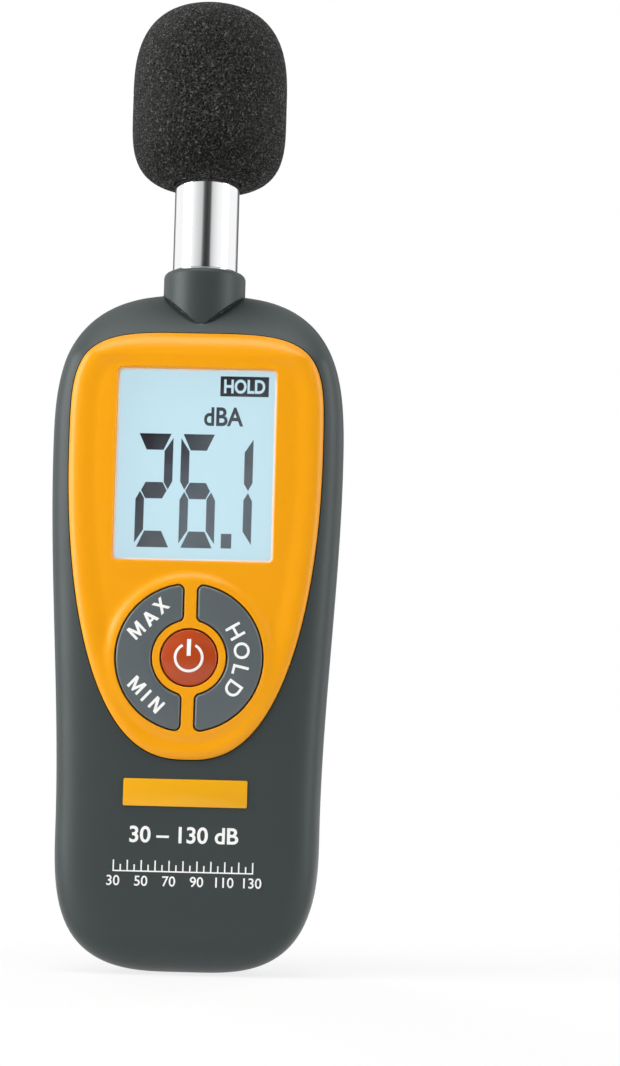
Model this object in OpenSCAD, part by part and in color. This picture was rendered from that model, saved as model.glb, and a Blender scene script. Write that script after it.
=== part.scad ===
// Hand-held sound level meter: two moulded shells, a display, three keys, a
// microphone on a half-inch tube under a foam windscreen, and a battery bay.
// +Z runs from the lower end to the microphone and the display faces -Y.

/* [Case] */
// Height of the case, from its lower end to the top of the shoulder
case_h = 131; // [128:1:138]
// Width of the case across the display
case_w = 56; // [54:1:62]
// Width of the case across the grip
grip_w = 50; // [48:1:54]
// Depth of the case in front of the microphone axis
front_depth = 12; // [11.6:0.1:14]
// Depth of the case behind the microphone axis
rear_depth = 18; // [17.6:0.1:22]
// Wall of both shells
wall = 2.2; // [1.8:0.1:2.4]
// Wall of the front face, with the seat of the fascia
face_wall = 3; // [2.8:0.1:3.1]
// Height over which the case rounds in to its lower end
heel_h = 27; // [22:1:30]
// Height over which the case rounds in to its top
shoulder_h = 31; // [27:1:34]
// Height over which the front face slopes back to the collar
slope_h = 14.2; // [12:0.1:14.4]

/* [Collar] */
// Outer diameter of the collar around the tube
collar_d = 16; // [15.4:0.1:18]
// Height of the collar above the case
collar_rise = 4.1; // [2:0.1:8]
// Rounding of the collar's rim
collar_round = 1.1; // [0.4:0.1:1.3]

/* [Fascia] */
// Width of the fascia at its widest
fascia_w = 48.8; // [47:0.2:50]
// Distance from the case's top to the fascia's top
fascia_drop = 9.8; // [9:0.1:12]
// Distance from the keypad's centre down to the fascia's lower tip
fascia_tail = 18.6; // [18:0.1:20]
// Depth of the fascia's seat in the front face
fascia_seat = 1; // [0.8:0.05:1.1]
// Height of the fascia's panel over the front face
fascia_proud = 0.15; // [0:0.05:0.4]
// Width of the bead round the fascia's edge
bead_w = 2.6; // [1.6:0.1:3]
// Height of the bead over the fascia's panel
bead_h = 0.7; // [0.2:0.05:1]
// Gap round the fascia in its seat
fascia_gap = 0.2; // [0.1:0.05:0.3]

/* [Display] */
// Width of the window in the fascia
window_w = 30.3; // [26:0.1:31]
// Height of the window in the fascia
window_h = 36.3; // [32:0.1:36.6]
// Distance from the case's top to the window's centre
window_drop = 35; // [34.8:0.1:36]
// Corner radius of the window
window_round = 0.8; // [0.3:0.1:2]
// How far the lens reaches past the window all round
lens_lap = 1.5; // [1:0.1:1.6]
// Thickness of the lens
lens_t = 1; // [0.8:0.05:1.2]
// Thickness of the foam gasket behind the lens
gasket_t = 0.5; // [0.3:0.05:0.7]
// Thickness of the liquid crystal cell
lcd_t = 1.8; // [1.2:0.1:2]
// How far the liquid crystal cell reaches past the window all round
lcd_lap = 2; // [1.4:0.1:2.2]
// Wall of the frame that holds the cell and its backlight
holder_wall = 0.9; // [0.6:0.1:1]

/* [Keys] */
// Distance from the window's centre down to the keypad's centre
keypad_drop = 36.8; // [36:0.1:37.4]
// Outer diameter of the two curved keys
key_outer_d = 27.6; // [26:0.1:28.4]
// Inner diameter of the two curved keys
key_inner_d = 14.4; // [13.8:0.1:15]
// Width of the bridge between the two curved keys
key_split = 2.8; // [2.4:0.1:3.6]
// Corner radius of the curved keys
key_round = 1; // [0.4:0.1:1.4]
// Diameter of the power key
power_d = 10.6; // [9.4:0.1:10.8]
// Height of the keys over the front face
key_rise = 1.1; // [0.9:0.05:1.4]
// Extra height of the power key's dome
dome_rise = 0.5; // [0.1:0.05:1]
// Thickness of the foot that keeps a key in the case
foot_t = 0.9; // [0.6:0.05:1]
// How far the foot reaches past the key's opening
foot_lip = 0.35; // [0.25:0.05:0.45]
// Chamfer round the curved keys' tops
key_chamfer = 0.4; // [0.2:0.05:0.6]
// Travel of every key
key_travel = 0.6; // [0.3:0.05:0.7]
// Gap round every key
key_gap = 0.25; // [0.15:0.05:0.35]
// Diameter of the round land that carries the keys
land_d = 32.4; // [31:0.2:33]
// Height of the land over the fascia's panel
land_h = 0.3; // [0.1:0.05:0.5]

/* [Nameplate] */
// Width of the nameplate
plate_w = 23.2; // [18:0.2:28]
// Height of the nameplate
plate_h = 5.1; // [4:0.1:6]
// Distance from the fascia's tip down to the nameplate's centre
plate_drop = 6.7; // [5:0.1:10]
// Thickness of the nameplate
plate_t = 0.5; // [0.3:0.05:0.8]

/* [Microphone] */
// Diameter of the microphone tube, a half-inch standard
tube_d = 12.7; // [11:0.1:13]
// Wall of the microphone tube
tube_wall = 0.7; // [0.5:0.05:0.9]
// Height of the tube's end cap above the collar's rim
tube_reach = 40.9; // [36:0.1:46]
// Height of the slotted end cap
grid_h = 3.5; // [2.5:0.1:5]
// Diameter of the microphone capsule
capsule_d = 9.7; // [6:0.1:9.8]
// Height of the microphone capsule
capsule_h = 5; // [3:0.1:7]
// Thickness of the tube's flange inside the case
flange_t = 1.6; // [1.2:0.1:2]
// How far the flange stands out from the tube
flange_lip = 1; // [0.7:0.05:1.1]

/* [Windscreen] */
// Diameter of the foam windscreen
foam_d = 30.4; // [26:0.2:36]
// Height of the foam windscreen
foam_h = 38.5; // [34:0.5:44]
// Bare tube between the collar and the windscreen
bare_tube = 16.9; // [15:0.1:20]
// Clearance between the foam and the tube
foam_gap = 0.3; // [0.2:0.05:0.5]
// How far the windscreen travels to come off the tube
foam_travel = 45; // [40:1:60]

/* [Battery bay] */
// Diameter of an AAA cell
cell_d = 10.5; // [10:0.1:10.8]
// Length of an AAA cell with its button
cell_l = 44.5; // [43:0.1:45]
// Space between the cells
cell_gap = 0.3; // [0.2:0.05:0.4]
// Free length of the battery springs under load
spring_l = 4.2; // [3:0.1:5]
// Height of the bay's lower wall above the case's lower end
bay_z = 8.6; // [8:0.1:9.6]
// Wall of the battery bay
bay_wall = 1.6; // [1.2:0.1:1.8]
// Thickness of the battery door
door_t = 2.2; // [1.8:0.1:2.5]
// Height of the door's lower edge above the case's lower end
door_z = 7; // [6.4:0.1:7.6]
// Width of the door's runners
runner_w = 0.8; // [0.5:0.05:0.9]
// Thickness of the door's runners
runner_t = 0.75; // [0.5:0.05:0.8]
// Gap round the door and its runners
door_gap = 0.15; // [0.1:0.01:0.2]
// How far the door slides down to come off
door_travel = 60; // [50:1:70]

/* [Board] */
// Width of the main board
board_w = 36; // [35:0.5:36.6]
// Thickness of the main board
board_t = 1.6; // [1:0.1:1.8]
// Depth of the main board behind the front face
board_depth = 7.7; // [7.6:0.1:8]
// Distance from the keypad's centre down to the board's lower edge
board_tail = 26.2; // [25:0.1:28]
// Thickness of the rubber key mat
mat_t = 0.9; // [0.6:0.05:1]

/* [Fasteners] */
// Distance between the case screws across the case
screw_span = 42; // [41.6:0.1:43]
// Distance from the case's top to the upper case screws
screw_drop = 21; // [19:0.5:23]
// Distance from the battery bay's top up to the lower case screws
screw_rise = 8.7; // [7:0.1:11]
// Shank diameter of the case screws
screw_d = 2.3; // [2:0.1:2.5]
// Head diameter of the case screws
head_d = 4.4; // [3.8:0.1:4.6]
// Head height of the case screws
head_h = 1.6; // [1.2:0.1:2]
// Shank diameter of the board screws
board_screw_d = 1.6; // [1.4:0.1:2]
// Outer diameter of the tripod insert
insert_d = 8.4; // [7.6:0.1:9.6]
// Length of the tripod insert
insert_l = 9; // [7:0.5:10]
// Minor diameter of the tripod thread, 1/4-20 UNC
thread_d = 5.1; // [4.9:0.05:5.3]
// Distance from the battery bay's top up to the tripod insert
insert_rise = 26.7; // [22:0.1:31]

/* [Hidden] */

grey = "#4f5a5a";
orange = "#f5a81c";
steel = "#c9cccf";
green = "#1f6b45";
black = "#2a2b2c";

eps = 0.01;
fit = 0.05;
far = 200;

// Depths, measured from the microphone's axis
tube_y = (max(front_depth + key_rise + dome_rise, foam_d / 2) - rear_depth) / 2;
front_y = tube_y - front_depth;
rear_y = tube_y + rear_depth;

// Shape of the case
flare_z = [heel_h, case_h - shoulder_h];
side_power = 5.2;
rear_power = 6;
heel_power = 3.1;
shoulder_power = 2.8;
toe_h = 10;
rear_toe_h = 12;
toe_power = 2.2;
slope_power = 1.25;
cavity_z = [2.6, case_h - 4];

function between(v, low, high) = min(max(v, low), high);
function smooth(t) = t * t * (3 - 2 * t);
function curve(t, p, q) = pow(max(0, 1 - pow(between(t, 0, 1), p)), 1 / q);
function ends(z, low, high, p_low, p_high) =
    curve((low - z) / low, p_low, p_low) * curve((z - case_h + high) / high, p_high, p_high);
function half_width(z) =
    let (flare = between((z - flare_z[0]) / (flare_z[1] - flare_z[0]), 0, 1))
    (grip_w + (case_w - grip_w) * smooth(flare)) / 2
    * ends(z, heel_h, shoulder_h, heel_power, shoulder_power);
function depth_front(z) = front_depth * ends(z, toe_h, slope_h, toe_power, slope_power);
function depth_rear(z) = rear_depth * ends(z, rear_toe_h, shoulder_h, toe_power, toe_power);
function face_y(x, z, inset) =
    tube_y - (depth_front(z) - inset) * curve(abs(x) / half_width(z), side_power, side_power);

// Heights on the case's axis
collar_top = case_h + collar_rise;
tube_top = collar_top + tube_reach;
window_z = case_h - window_drop;
keypad_z = window_z - keypad_drop;
fascia_top = case_h - fascia_drop;
fascia_tip = keypad_z - fascia_tail;
plate_z = fascia_tip - plate_drop;
board_z = keypad_z - board_tail;
board_top = window_z + window_h / 2 + lcd_lap + 1;
flange_z = board_top + 1.9;
boss_z = board_top + 0.4;
foam_z = collar_top + bare_tube;

// Depth of each layer behind the front face
lens_y = front_y + fascia_seat + fit;
wall_y = front_y + face_wall;
lcd_y = wall_y + gasket_t;
light_y = lcd_y + lcd_t;
board_y = front_y + board_depth;
board_back = board_y + board_t;
mat_y = wall_y + foot_t + key_travel + 2 * fit;

// Battery bay, measured from the rear face
cell_y = rear_y - door_t - 0.5 - cell_d / 2;
bay_floor_y = cell_y - cell_d / 2 - 0.2;
bay_half_w = (3 * cell_d + 2 * cell_gap) / 2 + 0.4;
contact_t = 0.4;
bay_in_z = bay_z + bay_wall;
bay_l = cell_l + spring_l + 2 * contact_t;
bay_top = bay_in_z + bay_l + bay_wall;
ledge_y = rear_y - door_t - door_gap;
door_half_w = bay_half_w + 0.7;
door_top = bay_top + 1;
cell_pitch = cell_d + cell_gap;
lead_z = bay_in_z + bay_l - contact_t / 2;

// The tube has its full diameter where it is bare, and is thinner in the collar and the windscreen
neck_d = tube_d - 0.4;
bare_end = 0.3;

// Microphone parts inside the tube
bore_d = tube_d - 2 * tube_wall;
grid_z = tube_top - grid_h;
spigot_h = 2;
capsule_z = grid_z - spigot_h - capsule_h - 0.3;
lead_d = 0.9;
lead_x = 1.2;
plug_z = board_top - 9;
plug_h = 5;
foam_bore_z = tube_top + foam_gap;

// Fasteners
pillar_d = 5.2;
screw_seat_y = tube_y + 4;
screw_end_y = wall_y + 0.8;
insert_z = bay_top + insert_rise;
screw_z = [bay_top + screw_rise, case_h - screw_drop];
screw_places = [for (x = [-1, 1], z = screw_z) [x * screw_span / 2, z]];
post_d = 4;
post_x = board_w / 2 - post_d / 2 - 0.4;
holder_z = window_z - window_h / 2 - lcd_lap - holder_wall / 2;
post_z = [board_z + post_d / 2 + 1, holder_z - post_d / 2 - 0.8];
post_places = [for (x = [-1, 1], z = post_z) [x * post_x, z]];

ring_steps = 40;
outline_steps = 60;

// Closed loft through rings of equal length
module loft(rings) {
    n = len(rings[0]);
    m = len(rings);
    polyhedron(
        points = [for (ring = rings) each ring],
        faces = [
            [for (j = [0:n - 1]) j],
            for (i = [0:m - 2], j = [0:n - 1])
                let (a = i * n + j, b = i * n + (j + 1) % n) each [[a, a + n, b + n], [a, b + n, b]],
            [for (j = [n - 1:-1:0]) (m - 1) * n + j]
        ]
    );
}

// One cross-section of the case, drawn in by the given walls
function section(z, side, front, rear) = [
    for (j = [0:ring_steps - 1])
        let (
            a = 360 * j / ring_steps,
            back = sin(a) > 0,
            p = back ? rear_power : side_power,
            depth = back ? depth_rear(z) - rear : depth_front(z) - front
        )
        [
            sign(cos(a)) * pow(abs(cos(a)), 2 / p) * (half_width(z) - side),
            tube_y + sign(sin(a)) * pow(abs(sin(a)), 2 / p) * depth,
            z
        ]
];

// Heights of the cross-sections, close together where the case rounds in
case_levels = concat(
    [for (t = [9:9:90]) heel_h * (1 - cos(t))],
    [for (t = [0.25:0.25:0.75]) heel_h + t * (case_h - shoulder_h - heel_h)],
    [for (t = [90:-8.2:8]) case_h - shoulder_h * (1 - cos(t))]
);

module case_form() {
    loft([
        section(0.02, 0, 0, 0),
        for (z = case_levels) section(z, 0, 0, 0),
        section(case_h - 0.02, 0, 0, 0)
    ]);
}

module case_cavity() {
    steps = 12;
    loft([
        for (i = [0:steps])
            let (z = cavity_z[0] + (cavity_z[1] - cavity_z[0]) * (1 - cos(180 * i / steps)) / 2)
            section(z, wall, face_wall, wall)
    ]);
}

module front_half() {
    translate([-far / 2, tube_y - far, -far / 2]) cube([far, far, 2 * far]);
}

module rear_half() {
    translate([-far / 2, tube_y, -far / 2]) cube([far, far, 2 * far]);
}

// Cylinder along Y from one depth to another
module across(d, place, y0, y1, fn = 32) {
    translate([place[0], y0, place[1]]) rotate([-90, 0, 0]) cylinder(d = d, h = y1 - y0, $fn = fn);
}

module upright(d, z0, z1, fn = 64) {
    translate([0, tube_y, z0]) cylinder(d = d, h = z1 - z0, $fn = fn);
}

// Flat outline drawn in X and Z, given a thickness along Y
module slab(y0, y1) {
    translate([0, y1, 0]) rotate([90, 0, 0]) linear_extrude(y1 - y0) children();
}

module rounded(w, h, r) {
    hull() for (x = [-1, 1], z = [-1, 1])
        translate([x * (w / 2 - r), z * (h / 2 - r)]) circle(r = r, $fn = 32);
}

module collar() {
    translate([0, tube_y, case_h - shoulder_h / 2]) rotate_extrude($fn = 48) difference() {
        square([collar_d / 2, collar_top - case_h + shoulder_h / 2]);
        translate([collar_d / 2 - collar_round, collar_top - case_h + shoulder_h / 2 - collar_round])
            difference() {
                square(collar_round + eps);
                circle(r = collar_round, $fn = 16);
            }
    }
}

// Space that the tube and its flange fill in the shells
module tube_space() {
    upright(neck_d + 4 * fit, flange_z, collar_top + 1, 48);
    upright(tube_d + 2 * flange_lip + 4 * fit, flange_z - fit, flange_z + flange_t + fit, 48);
    upright(bore_d, boss_z - 1, flange_z + eps, 24);
}

// Both shells in one piece, before they are parted at the tube's axis
module case_blank() {
    difference() {
        union() {
            case_form();
            collar();
        }
        difference() {
            case_cavity();
            upright(tube_d + 2 * (flange_lip + 0.9), boss_z, case_h, 32);
        }
        tube_space();
    }
}

// Outline of the fascia, anticlockwise from its right-hand side
fascia_mid = case_h - shoulder_h;
function fascia_point(a) =
    let (
        up = fascia_top - fascia_mid,
        down = fascia_mid - fascia_tip,
        t = pow(abs(sin(a)), sin(a) > 0 ? 0.5 : 0.93),
        z = sin(a) > 0 ? t * up : -t * down,
        w = sin(a) > 0 ? curve(t, 4, 4) : curve(t, 2.1, 2.55)
    )
    [sign(cos(a)) * w * fascia_w / 2, fascia_mid + z];
fascia_outline = [for (j = [0:outline_steps - 1]) fascia_point(360 * (j + 0.5) / outline_steps)];

// The outline drawn in by a distance along its own normals
function drawn_in(d) = [
    for (j = [0:outline_steps - 1])
        let (
            a = fascia_outline[(j + outline_steps - 1) % outline_steps],
            b = fascia_outline[(j + 1) % outline_steps],
            n = [a[1] - b[1], b[0] - a[0]] / norm(b - a)
        )
        fascia_outline[j] + d * n
];
function shrunk(points, s) = [for (p = points) [p[0] * s, fascia_mid + (p[1] - fascia_mid) * s]];

// Height of the fascia over the case's face, at a distance from its edge
function bead(d) = fascia_proud + bead_h * sqrt(max(0, 1 - pow(2 * d / bead_w - 1, 2)));
function on_face(points, inset) = [for (p = points) [p[0], face_y(p[0], p[1], inset), p[1]]];

// Rings of the fascia's back face, from its middle to its bead
shrink_steps = [0.88, 0.6, 0.02];
fascia_inner = drawn_in(fascia_gap + bead_w);
function back_rings(inset) = [for (s = [0.02, 0.6, 0.88, 1]) on_face(shrunk(fascia_inner, s), inset)];

// Seat of the fascia in the front shell
module fascia_space() {
    loft(concat(back_rings(fascia_seat), [
        on_face(fascia_outline, fascia_seat),
        [for (p = fascia_outline) [p[0], front_y - 3, p[1]]]
    ]));
}

module fascia_form() {
    bead_steps = [0, 0.1, 0.3, 0.5, 0.7, 0.9, 1];
    inner = fascia_inner;
    back = fascia_seat - fit;
    loft([
        each back_rings(back),
        on_face(drawn_in(fascia_gap), back),
        for (t = bead_steps) on_face(drawn_in(fascia_gap + t * bead_w), -bead(t * bead_w)),
        for (s = shrink_steps) on_face(shrunk(inner, s), -fascia_proud)
    ]);
}

// Outline of the two curved keys' openings; side is -1 on the left
module key_outline(side, grow) {
    offset(r = key_round + grow, $fn = 16) offset(delta = -key_round) difference() {
        circle(d = key_outer_d, $fn = 60);
        circle(d = key_inner_d, $fn = 40);
        translate([side > 0 ? -far + key_split / 2 : -key_split / 2, -far / 2]) square(far);
    }
}

// The three key openings, from one depth to another
module key_openings(y0, y1) {
    slab(y0, y1) translate([0, keypad_z]) {
        for (side = [-1, 1]) key_outline(side, key_gap);
        circle(d = power_d + 2 * key_gap, $fn = 48);
    }
}

module window_opening(y0, y1, lap) {
    slab(y0, y1) translate([0, window_z])
        rounded(window_w + 2 * lap, window_h + 2 * lap, window_round);
}

module front_shell() {
    color(grey) resize([0, 0, 0]) difference() {
        union() {
            intersection() {
                case_blank();
                front_half();
            }
            intersection() {
                case_form();
                union() {
                    for (p = screw_places) across(pillar_d, p, front_y + 1, tube_y, 16);
                    for (p = post_places) across(post_d, p, front_y + 1, board_y, 16);
                }
            }
        }
        fascia_space();
        window_opening(front_y, wall_y + 1, lens_lap / 3);
        window_layer(front_y, lens_y + lens_t + fit, lens_lap + fit);
        key_openings(front_y - 2, wall_y + 1);
        window_layer(wall_y, board_y, lcd_lap + holder_wall / 2 + 0.2);
        across(key_outer_d + 2 * (key_gap + foot_lip + 0.3), [0, keypad_z], wall_y, board_y, 36);
        slab(front_y - 2, front_y + plate_t / 2)
            translate([0, plate_z]) rounded(plate_w + 2 * fit, plate_h + 2 * fit, 0.3);
        for (p = screw_places) across(screw_d + 4 * fit, p, screw_end_y - 0.5, tube_y + 1, 14);
        for (p = post_places) across(board_screw_d + 4 * fit, p, wall_y, board_y + 1, 14);
    }
}

// Block that holds the cells, solid, as part of the rear shell
module bay_block() {
    outer_w = bay_half_w + bay_wall + 0.3;
    translate([-outer_w, bay_floor_y - bay_wall + 0.2, bay_z])
        cube([2 * outer_w, far, bay_top - bay_z]);
}

module bay_pocket() {
    translate([-bay_half_w, bay_floor_y, bay_in_z]) cube([2 * bay_half_w, far, bay_l]);
}

// Opening of the battery door, with its two grooves
module door_opening() {
    opening_w = door_half_w + door_gap;
    groove_w = door_half_w + runner_w + 2 * door_gap;
    translate([-opening_w, ledge_y, -1]) cube([2 * opening_w, far, door_top + 1]);
    translate([-groove_w, ledge_y, -1]) cube([2 * groove_w, runner_t + 2 * door_gap, door_top + 1]);
}

module rear_shell() {
    color(grey) resize([0, 0, 0]) difference() {
        union() {
            intersection() {
                case_blank();
                rear_half();
            }
            intersection() {
                case_form();
                union() {
                    for (p = screw_places) across(head_d + 2.2, p, tube_y, rear_y - 1, 16);
                    across(insert_d + 4, [0, insert_z], rear_y - insert_l - 2, rear_y - 1, 24);
                    bay_block();
                }
            }
        }
        bay_pocket();
        door_opening();
        for (p = screw_places) {
            across(screw_d + 4 * fit, p, tube_y - 1, rear_y, 14);
            across(head_d + 4 * fit, p, screw_seat_y, rear_y + 1, 20);
        }
        across(insert_d + 4 * fit, [0, insert_z], rear_y - insert_l, rear_y + 1, 32);
        for (x = [-1, 1]) across(lead_d + 0.4, [x * cell_pitch, lead_z], tube_y, bay_floor_y + eps, 16);
    }
}

module fascia() {
    color(orange) resize([0, 0, 0]) difference() {
        union() {
            fascia_form();
            slab(front_y - fascia_proud - land_h, front_y + fascia_seat / 2)
                translate([0, keypad_z]) circle(d = land_d, $fn = 48);
        }
        window_opening(front_y - 2, tube_y, 0);
        window_layer(lens_y - fit, tube_y, lens_lap + fit);
        key_openings(front_y - 2, tube_y);
    }
}

module nameplate() {
    color(orange) slab(front_y - plate_t / 2, front_y + plate_t / 2 - fit / 2)
        translate([0, plate_z]) rounded(plate_w, plate_h, 0.3);
}

module display_window() {
    color("#dfeef2") window_layer(lens_y, lens_y + lens_t, lens_lap);
}

// One flat layer of the display
module window_layer(y0, y1, lap) {
    translate([-window_w / 2 - lap, y0, window_z - window_h / 2 - lap])
        cube([window_w + 2 * lap, y1 - y0, window_h + 2 * lap]);
}

module window_gasket() {
    color(black) difference() {
        window_layer(wall_y, lcd_y, lcd_lap);
        window_layer(wall_y - 1, lcd_y + 1, lens_lap / 3);
    }
}

module lcd_cell() {
    color("#c9e9f5") window_layer(lcd_y, light_y, lcd_lap - holder_wall / 2);
}

module display_holder() {
    color("white") difference() {
        window_layer(lcd_y, board_y, lcd_lap + holder_wall / 2);
        window_layer(lcd_y - 1, light_y + eps, lcd_lap - holder_wall / 2);
        window_layer(light_y, board_y + 1, lcd_lap - 1.5 * holder_wall);
    }
}

strip_t = 1.6;
module backlight() {
    color("#eef6ff") intersection() {
        window_layer(light_y, board_y - 0.4, lcd_lap - 1.5 * holder_wall - fit);
        translate([-far / 2, -far / 2, window_z - window_h / 2 + strip_t])
            cube([far, far, window_h - 2 * strip_t]);
    }
}

module lcd_connectors() {
    strip_rise = (window_h + 1.2 - strip_t) / 2;
    color("#e6a9a0") for (side = [-1, 1])
        translate([-window_w / 2 + 1, light_y, window_z + side * strip_rise - strip_t / 2])
            cube([window_w - 2, board_y - light_y, strip_t]);
}

module main_board() {
    color(green) difference() {
        translate([-board_w / 2, board_y, board_z]) cube([board_w, board_t, board_top - board_z]);
        for (p = post_places) across(board_screw_d + 0.4, p, board_y - 1, board_back + 1, 24);
    }
}

// Chips on the board's back: left edge, distance below the board's top, width and height
chip_t = 1.4;
chips = [[-5, 47, 10, 10], [-12, 33, 5, 6], [6, 25, 6, 4]];
small_parts = 4;
small_part = [1.2, 0.8, 2];
capacitor_d = 5;
module board_chips() {
    row = [chips[2][0], board_top - chips[0][1] + chips[0][3]];
    color(black) {
        for (c = chips) translate([c[0], board_back, board_top - c[1]]) cube([c[2], chip_t, c[3]]);
        for (i = [0:small_parts - 1])
            translate([row[0] + 2 * small_part[0] * i, board_back, row[1]])
                cube(small_part);
        across(capacitor_d, [chips[1][0] + 3, board_top - 20], board_back, board_back + capacitor_d, 32);
    }
}

switch_w = 5.2;
switch_x = (key_outer_d + key_inner_d) / 4;
module key_switches() {
    switch_h = (board_y - mat_y - mat_t) - 0.1;
    color("#b9bcbe") for (x = [-switch_x, 0, switch_x]) {
        translate([x - switch_w / 2, board_y - 0.7 * switch_h, keypad_z - switch_w / 2])
            cube([switch_w, 0.7 * switch_h, switch_w]);
        across(2.4, [x, keypad_z], board_y - switch_h, board_y - 0.7 * switch_h + eps, 24);
    }
}

module key_mat() {
    color("#d8d6cf") across(key_outer_d + 2, [0, keypad_z], mat_y, mat_y + mat_t, 48);
}

// A curved key: cap, chamfered top and the foot that keeps it in the case
module curved_key(side) {
    slab(front_y - key_rise + key_chamfer, wall_y + 2 * fit)
        translate([0, keypad_z]) key_outline(side, 0);
    slab(front_y - key_rise, front_y - key_rise + key_chamfer + eps)
        translate([0, keypad_z]) key_outline(side, -key_chamfer);
    slab(wall_y + fit, wall_y + fit + foot_t)
        translate([0, keypad_z]) key_outline(side, key_gap + foot_lip);
}

module max_min_key() {
    color(grey) resize([0, 0, 0]) curved_key(-1);
}

module hold_key() {
    color(grey) resize([0, 0, 0]) curved_key(1);
}

module power_key() {
    cap_h = wall_y + fit + foot_t - front_y + key_rise;
    r = power_d / 2;
    dome_r = (r * r + dome_rise * dome_rise) / (2 * dome_rise);
    dome_a = asin(r / dome_r);
    color("#c4461f") translate([0, wall_y + fit + foot_t, keypad_z]) rotate([90, 0, 0])
        rotate_extrude($fn = 64) polygon([
            [0, 0],
            [r + key_gap + foot_lip, 0],
            [r + key_gap + foot_lip, foot_t],
            [r, foot_t],
            for (a = [dome_a:-dome_a / 8:0])
                [dome_r * sin(a), cap_h + dome_rise - dome_r * (1 - cos(a))]
        ]);
}

module microphone_tube() {
    color(steel) difference() {
        union() {
            upright(neck_d, flange_z, grid_z, 96);
            upright(tube_d, collar_top + bare_end, foam_z - bare_end, 96);
            upright(tube_d + 2 * flange_lip, flange_z, flange_z + flange_t, 96);
        }
        upright(bore_d, flange_z - 1, grid_z + 1, 96);
    }
}

module microphone_grid() {
    slots = 5;
    slot_w = 0.9;
    cap_t = 0.8;
    color(steel) difference() {
        union() {
            upright(tube_d, grid_z, tube_top, 96);
            upright(bore_d - 2 * fit, grid_z - spigot_h, grid_z + eps, 96);
        }
        upright(bore_d - 2 * tube_wall - 2 * fit, grid_z - spigot_h - 1, tube_top - cap_t, 96);
        for (i = [0.5 - slots / 2:slots / 2 - 0.5])
            translate([-bore_d / 2 + 1, tube_y + (2 * i - 0.5) * slot_w, tube_top - 2])
                cube([bore_d - 2, slot_w, 4]);
    }
}

module microphone_capsule() {
    color("#a9adb0") upright(capsule_d, capsule_z, capsule_z + capsule_h, 64);
}

module capsule_holder() {
    color("white") difference() {
        upright(bore_d, capsule_z - 1.5, capsule_z + capsule_h - 0.5, 64);
        upright(capsule_d, capsule_z, capsule_z + capsule_h, 64);
        upright(2 * lead_x + lead_d + 0.6, capsule_z - 2, capsule_z + 1, 32);
    }
}

module microphone_leads() {
    color("#b03028") for (side = [-1, 1])
        translate([side * lead_x, 0, 0]) upright(lead_d, plug_z + plug_h, capsule_z, 24);
}

module microphone_plug() {
    plug_w = 2 * lead_x + 3.6;
    color("#efece2") translate([-plug_w / 2, board_back, plug_z])
        cube([plug_w, tube_y + 1.2 - board_back, plug_h]);
}

// Radius of the windscreen at a height above its lower end
function foam_r(z) =
    let (low = 0.41 * foam_h, high = 0.49 * foam_h)
    foam_d / 2 * curve((low - z) / low, 3.6, 3.6) * curve((z - high) / (foam_h - high), 2.7, 2.7);
foam_levels = [for (t = [0:4:180]) foam_h * (1 - cos(t)) / 2];

module windscreen() {
    lip_r = tube_d / 2 + foam_gap;
    color(black) translate([0, tube_y, foam_z]) rotate_extrude($fn = 96) polygon([
        [lip_r, foam_bore_z - foam_z],
        [lip_r, foam_levels[1]],
        for (z = foam_levels) if (foam_r(z) > lip_r + 1 || z > foam_h / 2) [foam_r(z), z],
        [0, foam_bore_z - foam_z]
    ]);
}

// Finger slots across the door
grip_slots = 6;
grip_slot = [14, 1];
module battery_door() {
    color(grey) resize([0, 0, 0]) {
        difference() {
            intersection() {
                case_form();
                translate([-door_half_w, ledge_y + door_gap, door_z])
                    cube([2 * door_half_w, far, door_top - door_gap - door_z]);
            }
            for (i = [0:grip_slots - 1])
                translate([-grip_slot[0] / 2, rear_y - 0.5, door_top - 6 - 2 * grip_slot[1] * i])
                    cube([grip_slot[0], 2, grip_slot[1]]);
        }
        translate([-door_half_w - runner_w, ledge_y + door_gap, door_z + 3])
            cube([2 * (door_half_w + runner_w), runner_t, door_top - door_z - 6]);
    }
}

// Cells stand side by side, every second one upside down
function cell_x(i) = (i - 1) * cell_pitch;
function cell_up(i) = i % 2 == 0;

module battery_cell(i) {
    button_h = 0.9;
    can_z = bay_in_z + contact_t + (cell_up(i) ? spring_l : button_h);
    button_z = cell_up(i) ? can_z + cell_l - button_h : can_z - button_h;
    color("#3d6f9e") translate([cell_x(i), cell_y - tube_y, 0]) {
        upright(cell_d, can_z, can_z + cell_l - button_h);
        upright(3.8, button_z, button_z + button_h, 32);
    }
}

module battery_cell_1() {
    battery_cell(0);
}

module battery_cell_2() {
    battery_cell(1);
}

module battery_cell_3() {
    battery_cell(2);
}

// Springs wind upwards in a cone from their contact plate
spring_turns = 3;
spring_wire = 0.5;
spring_r = [0.34 * cell_d, 0.23 * cell_d];
coil_steps = 8 * spring_turns;
function coil_angle(i) = 45 * i;
function coil_centre(i) =
    let (
        t = i / coil_steps,
        r = spring_r[0] + (spring_r[1] - spring_r[0]) * t
    )
    [r * cos(coil_angle(i)), r * sin(coil_angle(i)), spring_wire / 2 + (spring_l - spring_wire) * t];
function coil_ring(i) = [
    for (b = [0:-60:-300])
        coil_centre(i) + spring_wire / 2
            * [cos(coil_angle(i)) * cos(b), sin(coil_angle(i)) * cos(b), sin(b)]
];
coil_gap = min([
    for (i = [0:coil_steps - 4], j = [i + 4:coil_steps]) norm(coil_centre(i) - coil_centre(j))
]) - spring_wire;
echo(least_gap_between_spring_turns = coil_gap);
module spring_coil() {
    loft([for (i = [0:coil_steps]) coil_ring(i)]);
}

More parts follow.
